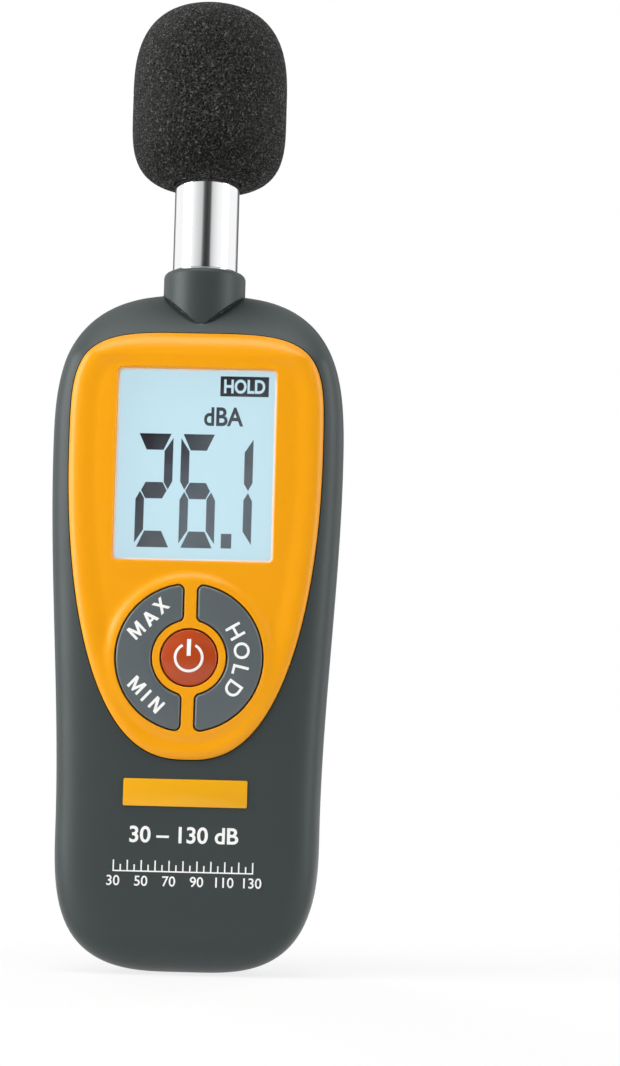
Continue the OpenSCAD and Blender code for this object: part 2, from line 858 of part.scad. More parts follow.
module battery_springs() {
    color(steel) for (i = [0:2])
        translate([cell_x(i), cell_y, bay_in_z + (cell_up(i) ? contact_t : bay_l - contact_t)])
            mirror([0, 0, cell_up(i) ? 0 : 1]) spring_coil();
}

module battery_contacts() {
    plate_w = cell_d - 1.5;
    color(steel) for (i = [0:2], z = [bay_in_z, bay_in_z + bay_l - contact_t])
        translate([cell_x(i) - plate_w / 2, bay_floor_y, z])
            cube([plate_w, cell_y + plate_w / 2 - bay_floor_y, contact_t]);
}

module battery_leads() {
    color("#b03028") for (side = [-1, 1])
        across(lead_d, [side * cell_pitch, lead_z], board_back, bay_floor_y, 24);
}

module case_screws() {
    color(steel) for (p = screw_places) {
        across(screw_d, p, screw_end_y, screw_seat_y + eps, 32);
        difference() {
            across(head_d, p, screw_seat_y, screw_seat_y + head_h, 32);
            for (turn = [0, 90]) translate([p[0], screw_seat_y + head_h, p[1]]) rotate([0, turn, 0])
                cube([0.6, 1.4, head_d * 0.6], center = true);
        }
    }
}

module board_screws() {
    color(steel) for (p = post_places) {
        across(board_screw_d, p, wall_y + 0.5, board_back + eps, 24);
        across(2 * board_screw_d, p, board_back, board_back + 1, 24);
    }
}

module tripod_insert() {
    color("#c8a24a") difference() {
        across(insert_d, [0, insert_z], rear_y - insert_l, rear_y - fit, 64);
        across(thread_d, [0, insert_z], rear_y - insert_l + 1, rear_y + 1, 64);
    }
}

front_shell();
rear_shell();
fascia();
nameplate();
display_window();
window_gasket();
lcd_cell();
display_holder();
backlight();
lcd_connectors();
main_board();
board_chips();
key_switches();
key_mat();
power_key();
max_min_key();
hold_key();
microphone_tube();
microphone_grid();
microphone_capsule();
capsule_holder();
microphone_leads();
microphone_plug();
windscreen();
battery_door();
battery_cell_1();
battery_cell_2();
battery_cell_3();
battery_springs();
battery_contacts();
battery_leads();
case_screws();
board_screws();
tripod_insert();
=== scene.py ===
# A hand-held sound level meter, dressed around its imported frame. Sizes are in millimetres.
import math

import bmesh
import bpy
import numpy as np
from mathutils import Matrix, Vector, noise


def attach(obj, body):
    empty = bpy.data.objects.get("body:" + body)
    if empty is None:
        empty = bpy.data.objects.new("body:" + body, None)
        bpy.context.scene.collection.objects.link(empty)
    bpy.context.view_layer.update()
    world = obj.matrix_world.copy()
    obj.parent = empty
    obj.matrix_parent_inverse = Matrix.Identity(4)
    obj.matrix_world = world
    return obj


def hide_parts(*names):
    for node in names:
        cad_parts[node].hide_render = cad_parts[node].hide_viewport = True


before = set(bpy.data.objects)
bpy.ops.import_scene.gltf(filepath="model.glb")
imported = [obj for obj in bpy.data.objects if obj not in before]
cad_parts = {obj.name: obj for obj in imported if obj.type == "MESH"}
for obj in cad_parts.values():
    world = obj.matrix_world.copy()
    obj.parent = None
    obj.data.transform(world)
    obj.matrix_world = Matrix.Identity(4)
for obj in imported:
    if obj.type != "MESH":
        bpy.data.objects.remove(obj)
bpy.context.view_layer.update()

mm = 0.001

# ---------------------------------------------------------------- Camera
# A long lens from just below the display. It looks up at the meter by six degrees, and is turned
# and rolled by about one.
lens_mm = 78.28
lens_distance = 450
lens_aim = (21.87, -1.4, 84.58)
lens_turn, lens_rise, lens_roll = math.radians(1.3), math.radians(-6.09), math.radians(1.404)
back = Vector((
    math.sin(lens_turn) * math.cos(lens_rise),
    -math.cos(lens_turn) * math.cos(lens_rise),
    math.sin(lens_rise),
))
level_right = Vector((0, 0, 1)).cross(back).normalized()
level_up = back.cross(level_right)
right = math.cos(lens_roll) * level_right + math.sin(lens_roll) * level_up
up = math.cos(lens_roll) * level_up - math.sin(lens_roll) * level_right


def linked(name, data):
    """A new object in the scene."""
    made = bpy.data.objects.new(name, data)
    bpy.context.scene.collection.objects.link(made)
    return made


camera = linked("camera", bpy.data.cameras.new("camera"))
camera.data.lens = lens_mm
camera.matrix_world = Matrix.Translation((Vector(lens_aim) + back * lens_distance) * mm) @ Matrix(
    (right, up, back)
).transposed().to_4x4()
bpy.context.scene.camera = camera

# ---------------------------------------------------------------- Case shells
# Two ABS mouldings, part-filled grey, that meet at the microphone's axis and are screwed together
# from behind. They form one collar round the tube. Pillars, posts and the battery bay are
# moulded in.
case_h, grip_w, case_w = 131, 50, 56
front_depth, rear_depth = 12, 18
heel_h, shoulder_h, slope_h = 27, 31, 14.2
toe_h, rear_toe_h = 10, 12
side_power, rear_power = 5.2, 6
heel_power, shoulder_power, toe_power, slope_power = 3.1, 2.8, 2.2, 1.25
collar_r, collar_top, collar_round = 8, 135.1, 1.1
prow_low, prow_high, prow_blunt = 123.5, 130.7, 0.25
wall, face_wall = 2.2, 3
room_low, room_ends = 2.6, 6.6
pillar_d, pillar_hole_d, post_d, post_hole_d = 5.2, 2.5, 4, 1.8
seam_groove = 0.16
tube_y = -1.4
front_y, rear_y = tube_y - front_depth, tube_y + rear_depth
wall_y = front_y + face_wall
fit = 0.05
far = 200
tip = 0.02


def curve(t, p, q):
    """A quarter of a rounded outline: 1 at t = 0 and 0 at t = 1, and squarer for higher powers."""
    return np.maximum(0, 1 - np.clip(t, 0, 1) ** p) ** (1 / q)


def ends(z, low, high, p_low, p_high):
    """Share of the full size at a height, where the lower and the upper end round in."""
    return curve((low - z) / low, p_low, p_low) * curve((z - case_h + high) / high, p_high, p_high)


def half_width(z):
    t = np.clip((z - heel_h) / (case_h - shoulder_h - heel_h), 0, 1)
    flare = grip_w + (case_w - grip_w) * t * t * (3 - 2 * t)
    return flare / 2 * ends(z, heel_h, shoulder_h, heel_power, shoulder_power)


def depth_front(z):
    return front_depth * ends(z, toe_h, slope_h, toe_power, slope_power)


def depth_rear(z):
    return rear_depth * ends(z, rear_toe_h, shoulder_h, toe_power, toe_power)


def face_y(x, z, inset=0):
    """Depth of the case's front face at a place, drawn in by an inset."""
    share = curve(np.abs(x) / half_width(z), side_power, side_power)
    return tube_y - (depth_front(z) - inset) * share


def shaped(name, points, faces):
    """An object from points in millimetres, with its doubles merged and its faces outwards."""
    mesh = bpy.data.meshes.new(name)
    mesh.from_pydata((np.asarray(points) * mm).tolist(), [], faces)
    form = bmesh.new()
    form.from_mesh(mesh)
    bmesh.ops.remove_doubles(form, verts=form.verts, dist=1e-7)
    bmesh.ops.recalc_face_normals(form, faces=form.faces)
    form.to_mesh(mesh)
    form.free()
    return linked(name, mesh)


def loft(rings, name="tool", round_again=False):
    """A closed form through rings of equal length, capped, or joined from the last to the first."""
    rings = np.asarray(rings, float)
    index = np.arange(rings.shape[0] * rings.shape[1]).reshape(rings.shape[:2])
    low, high = (index, np.roll(index, -1, 0)) if round_again else (index[:-1], index[1:])
    sides = np.stack([low, np.roll(low, -1, 1), np.roll(high, -1, 1), high], -1).reshape(-1, 4)
    caps = [] if round_again else [index[0].tolist(), index[-1].tolist()]
    return shaped(name, rings.reshape(-1, 3), sides.tolist() + caps)


def circle(d, place, count=48):
    a = np.arange(count) * 2 * np.pi / count
    return np.stack([place[0] + d / 2 * np.cos(a), place[1] + d / 2 * np.sin(a)], -1)


def at_depth(outline, y):
    """An outline in X and Z, set at a depth; y is one number or one for each point."""
    outline = np.asarray(outline, float)
    return np.stack([outline[:, 0], np.broadcast_to(y, len(outline)), outline[:, 1]], -1)


def plug(outline, y0, y1):
    """A form with one outline in X and Z, from one depth to another."""
    return loft([at_depth(outline, y) for y in (y0, y1)])


def rod(d, place, y0, y1, count=48):
    return plug(circle(d, place, count), y0, y1)


def turned(profile, name="tool", round_again=False, count=160, axis=(0, tube_y)):
    """A form turned on an upright axis, as a rule the microphone's, from radii and heights."""
    return loft([np.column_stack([circle(2 * r, axis, count), np.full(count, z)])
                 for r, z in profile], name, round_again)


def drum(d, z0, z1):
    return turned([(d / 2, z0), (d / 2, z1)], count=96)


def block(low, high):
    corners = [(low[0], low[2]), (high[0], low[2]), (high[0], high[2]), (low[0], high[2])]
    return plug(corners, low[1], high[1])


def as_mesh(piece):
    """The mesh that an object has with its modifiers, or as text."""
    graph = bpy.context.evaluated_depsgraph_get()
    return bpy.data.meshes.new_from_object(piece.evaluated_get(graph))


def cut(piece, tools, operation="DIFFERENCE"):
    """Cuts the tools out of a piece, or joins them to it, and uses them up."""
    for tool in tools:
        step = piece.modifiers.new("cut", "BOOLEAN")
        step.solver = "MANIFOLD"
        step.operation = operation
        step.object = tool
    piece.data = as_mesh(piece)
    piece.modifiers.clear()
    for tool in tools:
        bpy.data.objects.remove(tool)
    return piece


def softly_joined(body, collar, blend=0.3):
    """The larger of two radii, with a small fillet where they meet."""
    near = np.maximum(blend - np.abs(body - collar), 0)
    return np.maximum(body, collar) + near ** 2 / (4 * blend)


def half_form(side, depth_at, power, name):
    """One half of the case's outside, with its half of the collar; side is -1 at the front."""
    # Directions round the microphone's axis, close together where the outline turns its corner
    corner_share = 12
    t = np.linspace(0, np.pi / 2, 4000)
    wide = (case_w + grip_w) / 4 * np.cos(t) ** (2 / power)
    deep = (front_depth if side < 0 else rear_depth) * np.sin(t) ** (2 / power)
    bend = np.abs(np.gradient(np.unwrap(np.arctan2(np.gradient(deep), np.gradient(wide)))))
    way = np.cumsum(np.hypot(np.gradient(wide), np.gradient(deep)) + corner_share * bend)
    quarter = np.interp(np.linspace(way[0], way[-1], 46), way, np.arctan2(deep, wide))
    angle = np.concatenate([[0], quarter, np.pi - quarter[-2::-1], [np.pi]])

    def radius(z):
        z = np.clip(z, tip, case_h - tip)
        across = (np.abs(np.cos(angle)) / half_width(z)) ** power
        return (across + (np.sin(angle) / depth_at(z)) ** power) ** (-1 / power)

    # Height at which the collar leaves the body, in each direction
    neck = case_h - shoulder_h
    low, high = np.full_like(angle, neck), np.full_like(angle, case_h - tip)
    for _ in range(40):
        middle = (low + high) / 2
        outside = radius(middle) > collar_r
        low, high = np.where(outside, middle, low), np.where(outside, high, middle)

    # Rings at even steps up the body, then up the collar, and close together at its foot and crest
    end_angle, body_rings, collar_root = 0.02, 130, 0.6
    z = case_h * (1 - np.cos(np.linspace(end_angle, np.pi - end_angle, 6000))) / 2
    steps = [np.diff(v) for v in (z, half_width(z), depth_front(z), depth_rear(z))]
    way = np.concatenate([[0], np.cumsum(np.sqrt(sum(s * s for s in steps)))])
    z = np.interp(np.linspace(0, way[-1], body_rings), way, z)[:, None]
    z = np.where(z < neck, z, neck + (z - neck) * (low - collar_root - neck) / (case_h - neck))
    collar_straight = collar_top - collar_round
    sloping = prow_low + (prow_high - prow_low) * np.abs(np.cos(angle))
    crest = np.maximum(low + collar_root, sloping)
    z = np.concatenate([
        np.broadcast_to([tip], (1, len(angle))),
        z,
        low + np.array([-0.4, -0.2, -0.08, 0, 0.08, 0.2])[:, None],
        low + 0.2 + (crest - 0.3 - low - 0.2) * np.linspace(0.2, 1, 6)[:, None],
        crest + np.array([-0.2, -0.1, 0, 0.1, 0.25])[:, None],
        crest + 0.25 + (collar_straight - crest - 0.25) * np.linspace(0.25, 1, 4)[:, None],
    ])
    body = np.stack([radius(row) for row in z])
    r = np.where(z > neck, softly_joined(body, collar_r), body)
    if side < 0:
        # In front the collar runs down to a point, between two flat flanks
        flank = collar_r * np.clip((z - prow_low) / (prow_high - prow_low), 0, 1) + prow_blunt
        keel = np.minimum(collar_r, flank / np.maximum(np.abs(np.cos(angle)), 1e-3))
        r = np.where(z > neck, softly_joined(body, keel), body)
    turn = np.linspace(0, np.pi / 2, 8)[1:, None]
    rim_z = np.broadcast_to(collar_straight + collar_round * np.sin(turn), (7, len(angle)))
    rim_r = np.broadcast_to(collar_r - collar_round * (1 - np.cos(turn)), (7, len(angle)))
    z, r = np.concatenate([z, rim_z]), np.concatenate([r, rim_r])

    # The seam's edge is broken by a fine chamfer
    angles = np.broadcast_to(angle, r.shape).copy()
    angles[:, 1] = np.minimum(1.4 * seam_groove / r[:, 1], angle[2] / 2)
    angles[:, -2] = np.pi - angles[:, 1]
    r[:, [0, -1]] -= seam_groove
    x, y = r * np.cos(angles), tube_y + side * r * np.sin(angles)
    y[:, [0, -1]] = tube_y
    return loft(np.stack([x, y, z], -1), name)


def cavity():
    """The room inside both shells."""
    rings = []
    for z in room_low + (case_h - room_ends) * (1 - np.cos(np.linspace(0, np.pi, 25))) / 2:
        a = np.arange(96) * 2 * np.pi / 96
        rear = np.sin(a) > 0
        power = np.where(rear, rear_power, side_power)
        depth = np.where(rear, depth_rear(z) - wall, depth_front(z) - face_wall)
        x = np.sign(np.cos(a)) * np.abs(np.cos(a)) ** (2 / power) * (half_width(z) - wall)
        y = tube_y + np.sign(np.sin(a)) * np.abs(np.sin(a)) ** (2 / power) * depth
        rings.append(np.stack([x, y, np.full_like(x, z)], -1))
    return loft(rings)


screw_places = [(x, z) for x in (-21, 21) for z in (70, 110)]
post_places = [(x, z) for x in (-15.6, 15.6) for z in (36, 72.6)]
boss_z, flange_z, flange_t = 117.55, 119.05, 1.6
tube_d, neck_d, bore_d, flange_lip, boss_wall = 12.7, 12.3, 11.3, 1, 0.9


def tube_space():
    return [
        drum(neck_d + 4 * fit, flange_z, collar_top + 1),
        drum(tube_d + 2 * flange_lip + 4 * fit, flange_z - fit, flange_z + flange_t + fit),
        drum(bore_d, boss_z - 1, flange_z + 0.01),
    ]


def tube_boss():
    return drum(tube_d + 2 * (flange_lip + boss_wall), boss_z, case_h)


def hex_colour(code):
    """Linear colour of an sRGB hex code."""
    parts = [int(code[i:i + 2], 16) / 255 for i in (1, 3, 5)]
    return [v / 12.92 if v <= 0.04045 else ((v + 0.055) / 1.055) ** 2.4 for v in parts] + [1]


def feed(tree, node, inputs):
    """Gives a node's inputs their values, or the outputs that they are linked to."""
    for key, value in dict(inputs).items():
        if isinstance(value, bpy.types.NodeSocket):
            tree.links.new(value, node.inputs[key])
        else:
            node.inputs[key].default_value = value


def add(tree, kind, inputs=(), **settings):
    """Adds a node with its own settings and its inputs."""
    made = tree.nodes.new(kind)
    for key, value in settings.items():
        setattr(made, key, value)
    feed(tree, made, inputs)
    return made


def material(name):
    """A material with one surface shader, its node tree and its place on the object."""
    made = bpy.data.materials.new(name)
    made.use_nodes = True
    tree = made.node_tree
    tree.nodes.clear()
    surface = add(tree, "ShaderNodeBsdfPrincipled")
    add(tree, "ShaderNodeOutputMaterial", {"Surface": surface.outputs[0]})
    place = add(tree, "ShaderNodeTexCoord").outputs["Object"]
    return made, tree, surface, place


def moulded(name, colour, shade, rough, grain, relief, specular=0.5, metallic=0):
    """Moulded or plated finish: a fine grain, and a slow drift of tone and sheen."""
    drift_size, sheen_drift = 14, 0.05
    made, tree, surface, place = material(name)
    drift = add(tree, "ShaderNodeTexNoise", {
        "Vector": place, "Scale": 1 / (drift_size * mm), "Detail": 3})
    tone = add(tree, "ShaderNodeMix", {
        0: drift.outputs[0], 6: hex_colour(colour), 7: hex_colour(shade)}, data_type="RGBA")
    sheen = add(tree, "ShaderNodeMapRange", {
        "Value": drift.outputs[0], "To Min": rough - sheen_drift, "To Max": rough + sheen_drift})
    fine = add(tree, "ShaderNodeTexNoise", {
        "Vector": place, "Scale": 1 / (grain * mm), "Detail": 2})
    bump = add(tree, "ShaderNodeBump", {"Height": fine.outputs[0], "Distance": relief * mm})
    feed(tree, surface, {
        "Base Color": tone.outputs[2], "Roughness": sheen.outputs[0], "Normal": bump.outputs[0],
        "Specular IOR Level": specular, "Metallic": metallic})
    return made


def fitted(piece, finish, body, nodes=(), angle=30):
    """Smooths a finished piece, and puts it on its body in place of its CAD nodes."""
    piece.data.materials.clear()
    piece.data.materials.append(finish)
    piece.data.shade_smooth()
    piece.data.set_sharp_from_angle(angle=math.radians(angle))
    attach(piece, body)
    if nodes:
        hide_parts(*nodes)
    return piece


# ABS moulded in a spark-eroded tool: an even satin grey with a grain just fine enough to see
grey_abs = moulded("grey_abs_moulded", "#384040", "#343C3C", 0.43, 0.32, 0.012, specular=0.35)

window_w, window_h, window_z, window_round = 30.3, 36.8, 96, 0.8
lens_lap, lcd_lap, holder_wall, holder_room = 1.5, 2, 0.9, 0.2
lens_sunk, lens_t = 1, 1
lens_y = front_y + lens_sunk + fit
lcd_y, board_y, board_back = -9.9, -5.7, -4.1
keypad_z, key_gap = 59.2, 0.25
key_outer_r, key_inner_r, key_split, key_round = 13.8, 7.2, 2.8, 1
power_r, foot_lip, foot_t, foot_room = 5.3, 0.35, 0.9, 0.3
plate_w, plate_h, plate_z, plate_t, plate_round = 23.2, 5.1, 33.9, 0.5, 0.3


def rounded(w, h, r, z):
    """Outline of a rectangle with rounded corners, centred on X at a height."""
    a = np.linspace(0, np.pi / 2, 7)
    corners = zip((1, -1, -1, 1), (1, 1, -1, -1), range(4))
    return np.concatenate([
        np.stack([sx * (w / 2 - r) + r * np.cos(a + k * np.pi / 2),
                  z + sz * (h / 2 - r) + r * np.sin(a + k * np.pi / 2)], -1)
        for sx, sz, k in corners])


def window_outline(grow=0, r=window_round):
    """Outline of the window's opening, grown all round."""
    return rounded(window_w + 2 * grow, window_h + 2 * grow, r, window_z)


def window_layer(y0, y1, lap):
    """A flat block behind the window, that laps over the edges of its opening."""
    return block((-window_w / 2 - lap, y0, window_z - window_h / 2 - lap),
                 (window_w / 2 + lap, y1, window_z + window_h / 2 + lap))


def key_outline(side, grow):
    """Outline of a curved key; side is -1 on the left, and grow widens it all round."""
    edge = key_split / 2
    outer, inner, r = key_outer_r - key_round, key_inner_r + key_round, key_round + grow
    far_corner = (edge + key_round, math.sqrt(outer ** 2 - (edge + key_round) ** 2))
    near_corner = (edge + key_round, math.sqrt(inner ** 2 - (edge + key_round) ** 2))
    far_turn, near_turn = math.atan2(*far_corner[::-1]), math.atan2(*near_corner[::-1])

    def arc(centre, radius, start, end, count):
        a = np.linspace(start, end, count)
        return np.stack([centre[0] + radius * np.cos(a), centre[1] + radius * np.sin(a)], -1)

    upper = [
        arc((0, 0), outer + r, 0, far_turn, 40)[1:],
        arc(far_corner, r, far_turn, np.pi, 10)[1:],
        arc(near_corner, r, np.pi, np.pi + near_turn, 10),
        arc((0, 0), inner - r, near_turn, 0, 24)[1:],
    ]
    upper = np.concatenate(upper)
    lower = (upper * (1, -1))[::-1]
    whole = np.concatenate([[[outer + r, 0]], upper, lower[1:]])
    return whole * (side, 1) + (0, keypad_z)


def key_openings(y0, y1):
    holes = [plug(key_outline(side, key_gap), y0, y1) for side in (-1, 1)]
    return holes + [rod(2 * (power_r + key_gap), (0, keypad_z), y0, y1, 96)]


# Outline of the fascia, anticlockwise from its right-hand side: square-shouldered above its middle,
# and drawn out to a tip below it
fascia_w, fascia_top, fascia_mid, fascia_tip = 48.8, 121.8, 100, 39.9
fascia_points, top_spread, tip_spread = 280, 0.5, 0.93
top_power, tip_power, tip_width_power = 4, 2.1, 2.55
turn = 2 * np.pi * (np.arange(fascia_points) + 0.5) / fascia_points
upper = np.sin(turn) > 0
reach = np.abs(np.sin(turn)) ** np.where(upper, top_spread, tip_spread)
share = np.where(
    upper, curve(reach, top_power, top_power), curve(reach, tip_power, tip_width_power))
from_mid = np.where(upper, reach * (fascia_top - fascia_mid), reach * (fascia_tip - fascia_mid))
fascia_outline = np.stack([
    np.sign(np.cos(turn)) * share * fascia_w / 2, fascia_mid + from_mid], -1)
along = np.roll(fascia_outline, -1, 0) - np.roll(fascia_outline, 1, 0)
fascia_inward = np.stack([-along[:, 1], along[:, 0]], -1) / np.linalg.norm(along, axis=1)[:, None]
fascia_seat, fascia_proud, fascia_gap = 1, 0.15, 0.2
bead_rise, bead_w, bead_h = 1.4, 5.6, 0.7


def drawn_in(d):
    return fascia_outline + d * fascia_inward


def on_face(outline, inset):
    return at_depth(outline, face_y(outline[:, 0], outline[:, 1], inset))


fascia_inner = drawn_in(fascia_gap + bead_w)


def shrunk(s):
    return (fascia_inner - (0, fascia_mid)) * s + (0, fascia_mid)


inner_steps = np.linspace(0.02, 1, 26)
seat = loft(
    [on_face(shrunk(s), fascia_seat) for s in inner_steps]
    + [on_face(fascia_outline, fascia_seat), at_depth(fascia_outline, front_y - 3)])
front_void = cut(cavity(), [
    tube_boss(),
    *[rod(pillar_d, p, front_y + 1, tube_y + 1, 24) for p in screw_places],
    *[rod(post_d, p, front_y + 1, board_y, 24) for p in post_places],
])
front_shell = half_form(-1, depth_front, side_power, "front_case")
cut(front_shell, [front_void, seat, *tube_space(), *key_openings(front_y - 2, wall_y + 1)])
cut(front_shell, [
    plug(window_outline(lens_lap / 2), front_y, wall_y + 1),
    window_layer(front_y - 1, lens_y + lens_t + fit, lens_lap + fit),
    window_layer(wall_y, board_y, lcd_lap + holder_wall / 2 + holder_room),
    rod(2 * (key_outer_r + key_gap + foot_lip + foot_room), (0, keypad_z), wall_y, board_y, 96),
    plug(rounded(plate_w + 2 * fit, plate_h + 2 * fit, plate_round, plate_z),
         front_y - 2, front_y + plate_t / 2),
    *[rod(pillar_hole_d, p, wall_y + 0.3, tube_y + 1, 24) for p in screw_places],
    *[rod(post_hole_d, p, wall_y, board_y + 1, 24) for p in post_places],
])
fitted(front_shell, grey_abs, "case", ["front_shell"])

bay_z, bay_top, bay_in_z, bay_l, bay_half_w = 8.6, 61.3, 10.2, 49.5, 16.45
bay_floor_y, bay_floor_t, bay_wall = 3.2, 1.4, 1.9
ledge_y, door_half_w, door_top = 14.25, 17.15, 62.3
door_gap, runner_w, runner_t = 0.15, 0.8, 0.75
cell_y, cell_pitch, lead_z, lead_hole_d = 8.65, 10.8, 59.5, 1.3
insert_z, insert_l, insert_d, insert_wall = 88, 9, 8.4, 2
head_d, head_h, head_wall, screw_seat_y = 4.4, 1.6, 1.1, 2.6
seat_room = 0.2

rear_void = cut(cavity(), [
    tube_boss(),
    rod(insert_d + 2 * insert_wall, (0, insert_z), rear_y - insert_l - insert_wall, far, 48),
    block((-bay_half_w - bay_wall, bay_floor_y - bay_floor_t, bay_z),
          (bay_half_w + bay_wall, far, bay_top)),
    *[rod(head_d + 2 * head_wall, p, tube_y - 1, far, 32) for p in screw_places],
])
rear_shell = half_form(1, depth_rear, rear_power, "rear_case")
cut(rear_shell, [rear_void, *tube_space()])
cut(rear_shell, [
    block((-bay_half_w, bay_floor_y, bay_in_z), (bay_half_w, far, bay_in_z + bay_l)),
    block((-door_half_w - door_gap, ledge_y, -1), (door_half_w + door_gap, far, door_top)),
    block((-door_half_w - runner_w - 2 * door_gap, ledge_y, -1),
          (door_half_w + runner_w + 2 * door_gap, ledge_y + runner_t + 2 * door_gap, door_top)),
    rod(insert_d + seat_room, (0, insert_z), rear_y - insert_l, rear_y + 1, 64),
    *[rod(pillar_hole_d, p, tube_y - 1, rear_y, 24) for p in screw_places],
    *[rod(head_d + seat_room, p, screw_seat_y, rear_y + 1, 40) for p in screw_places],
    *[rod(lead_hole_d, (x, lead_z), tube_y, bay_floor_y + 0.1, 16)
      for x in (-cell_pitch, cell_pitch)],
])
fitted(rear_shell, grey_abs, "case", ["rear_shell"])

# ---------------------------------------------------------------- Fascia
# One orange moulding that clips into the front shell: a rolled bead runs round its edge, and a low
# round land carries the keys. The window and the keys have softened openings.
land_d, land_h, land_soft = 33.4, 0.75, 2.2
face_out = front_y - fascia_proud
land_y = face_out - land_h


def bead(d):
    """Height of the fascia above the case's face, at a distance in from its edge."""
    climb = math.sqrt(max(0, 1 - (1 - min(d / bead_rise, 1)) ** 2))
    fall = (1 + math.cos(math.pi * max(0, d - bead_rise) / (bead_w - bead_rise))) / 2
    return fascia_proud + bead_h * climb * fall


def with_land(ring):
    """A ring of the front face, lifted to the keys' land as far as it lies on it."""
    r = np.hypot(ring[:, 0], ring[:, 2] - keypad_z)
    share = (1 + np.cos(np.pi * np.clip((r - land_d / 2) / land_soft + 1, 0, 1))) / 2
    ring[:, 1] += share * (land_y - ring[:, 1])
    return ring


across_bead = [bead_rise * (1 - math.cos(a)) for a in np.linspace(0, np.pi / 2, 10)]
across_bead += [bead_rise + (bead_w - bead_rise) * t for t in np.linspace(0, 1, 13)[1:]]
back_inset = fascia_seat - fit
fascia = loft(
    [on_face(shrunk(s), back_inset) for s in inner_steps]
    + [on_face(drawn_in(fascia_gap), back_inset)]
    + [with_land(on_face(drawn_in(fascia_gap + d), -bead(d))) for d in across_bead]
    + [with_land(on_face(shrunk(s), -fascia_proud)) for s in np.linspace(1, 0.02, 150)[1:]],
    "fascia_moulding")


def stepped(outline, steps, name="tool"):
    """A form through an outline that changes by steps, each a growth or a radius, and a depth."""
    return loft([at_depth(outline(size), y) for size, y in steps], name)


window_edge = [
    (0.5, face_out - 0.6), (0.42, face_out - 0.02), (0.25, face_out + 0.07),
    (0.08, face_out + 0.25), (0, lens_y), (0, tube_y)]
cut(fascia, [
    stepped(lambda g: window_outline(g, window_round + g), window_edge),
    window_layer(lens_y - fit, tube_y, lens_lap + fit),
])
opening_edge = [
    (0.2, land_y - 0.4), (0.16, land_y - 0.01), (0.07, land_y + 0.04), (0, land_y + 0.15),
    (0, tube_y)]
for side in (-1, 1):
    cut(fascia, [stepped(lambda g: key_outline(side, key_gap + g), opening_edge)])
cut(fascia, [stepped(
    lambda g: circle(2 * (power_r + key_gap + g), (0, keypad_z), 96), opening_edge)])

# ABS again, moulded in a polished tool: even orange, satin gloss, with only a faint flow of tone
orange_abs = moulded(
    "orange_abs_polished", "#F6A501", "#F4A102", 0.32, 1.6, 0.005, specular=0.35)
fitted(fascia, orange_abs, "case", ["fascia"], 28)

# ---------------------------------------------------------------- Nameplate and print
# A bare orange film set in a shallow pocket below the fascia. Under it the case is pad-printed in
# white with the measuring range, as plain figures and a scale.
plate_out = front_y - plate_t / 2
plate_edge = [
    (0, front_y + plate_t / 2 - 0.03), (0, plate_out + 0.1), (-0.03, plate_out + 0.03),
    (-0.1, plate_out)]
plate = stepped(
    lambda g: rounded(plate_w + 2 * g, plate_h + 2 * g, plate_round, plate_z),
    plate_edge, "nameplate_film")
# Polyester film with a fine satin texture over the orange print
orange_film = moulded("orange_film_satin", "#F3AF0E", "#F0AB0C", 0.3, 0.5, 0.003)
fitted(plate, orange_film, "case", ["nameplate"])


def set_down(points, turn, place):
    """Flat points, turned about their middle and moved to a place."""
    c, s = math.cos(turn), math.sin(turn)
    return points @ np.array([[c, s], [-s, c]]) + place


def glyphs(text, height, place, turn=0, weight=0.0, narrow=1.0):
    """Outlines of characters as flat faces, centred on a place in X and Z."""
    words = bpy.data.curves.new("words", "FONT")
    words.body = text
    words.offset = weight
    words.resolution_u = 6
    holder = linked("words", words)
    flat = as_mesh(holder)
    bpy.data.objects.remove(holder)
    points = np.array([v.co[:2] for v in flat.vertices])
    low, high = points.min(0), points.max(0)
    points = (points - (low + high) / 2) * height / (high[1] - low[1]) * (narrow, 1)
    return set_down(points, turn, place), [list(face.vertices) for face in flat.polygons]


def printed(name, parts, y, thick=0.03):
    """A thin printed layer of flat parts, from a depth towards the front."""
    form = bmesh.new()
    for points, faces in parts:
        corners = [form.verts.new((x * mm, y * mm, z * mm)) for x, z in points]
        for face in faces:
            form.faces.new([corners[i] for i in face])
    bmesh.ops.remove_doubles(form, verts=form.verts, dist=1e-7)
    raised = bmesh.ops.extrude_face_region(form, geom=form.faces[:], use_keep_orig=True)
    bmesh.ops.translate(form, vec=(0, -thick * mm, 0),
                        verts=[v for v in raised["geom"] if isinstance(v, bmesh.types.BMVert)])
    bmesh.ops.recalc_face_normals(form, faces=form.faces)
    # The extrusion leaves its faces in a chance order, so they are ordered by where they are
    in_order = sorted(form.faces, key=lambda face: face.calc_center_median()[:])
    form.faces.sort(key={face: i for i, face in enumerate(in_order)}.get)
    mesh = bpy.data.meshes.new(name)
    form.to_mesh(mesh)
    form.free()
    return linked(name, mesh)


def one_face(points):
    return points, [list(range(len(points)))]


def bar(x0, x1, z0, z1):
    return one_face([(x0, z0), (x1, z0), (x1, z1), (x0, z1)])


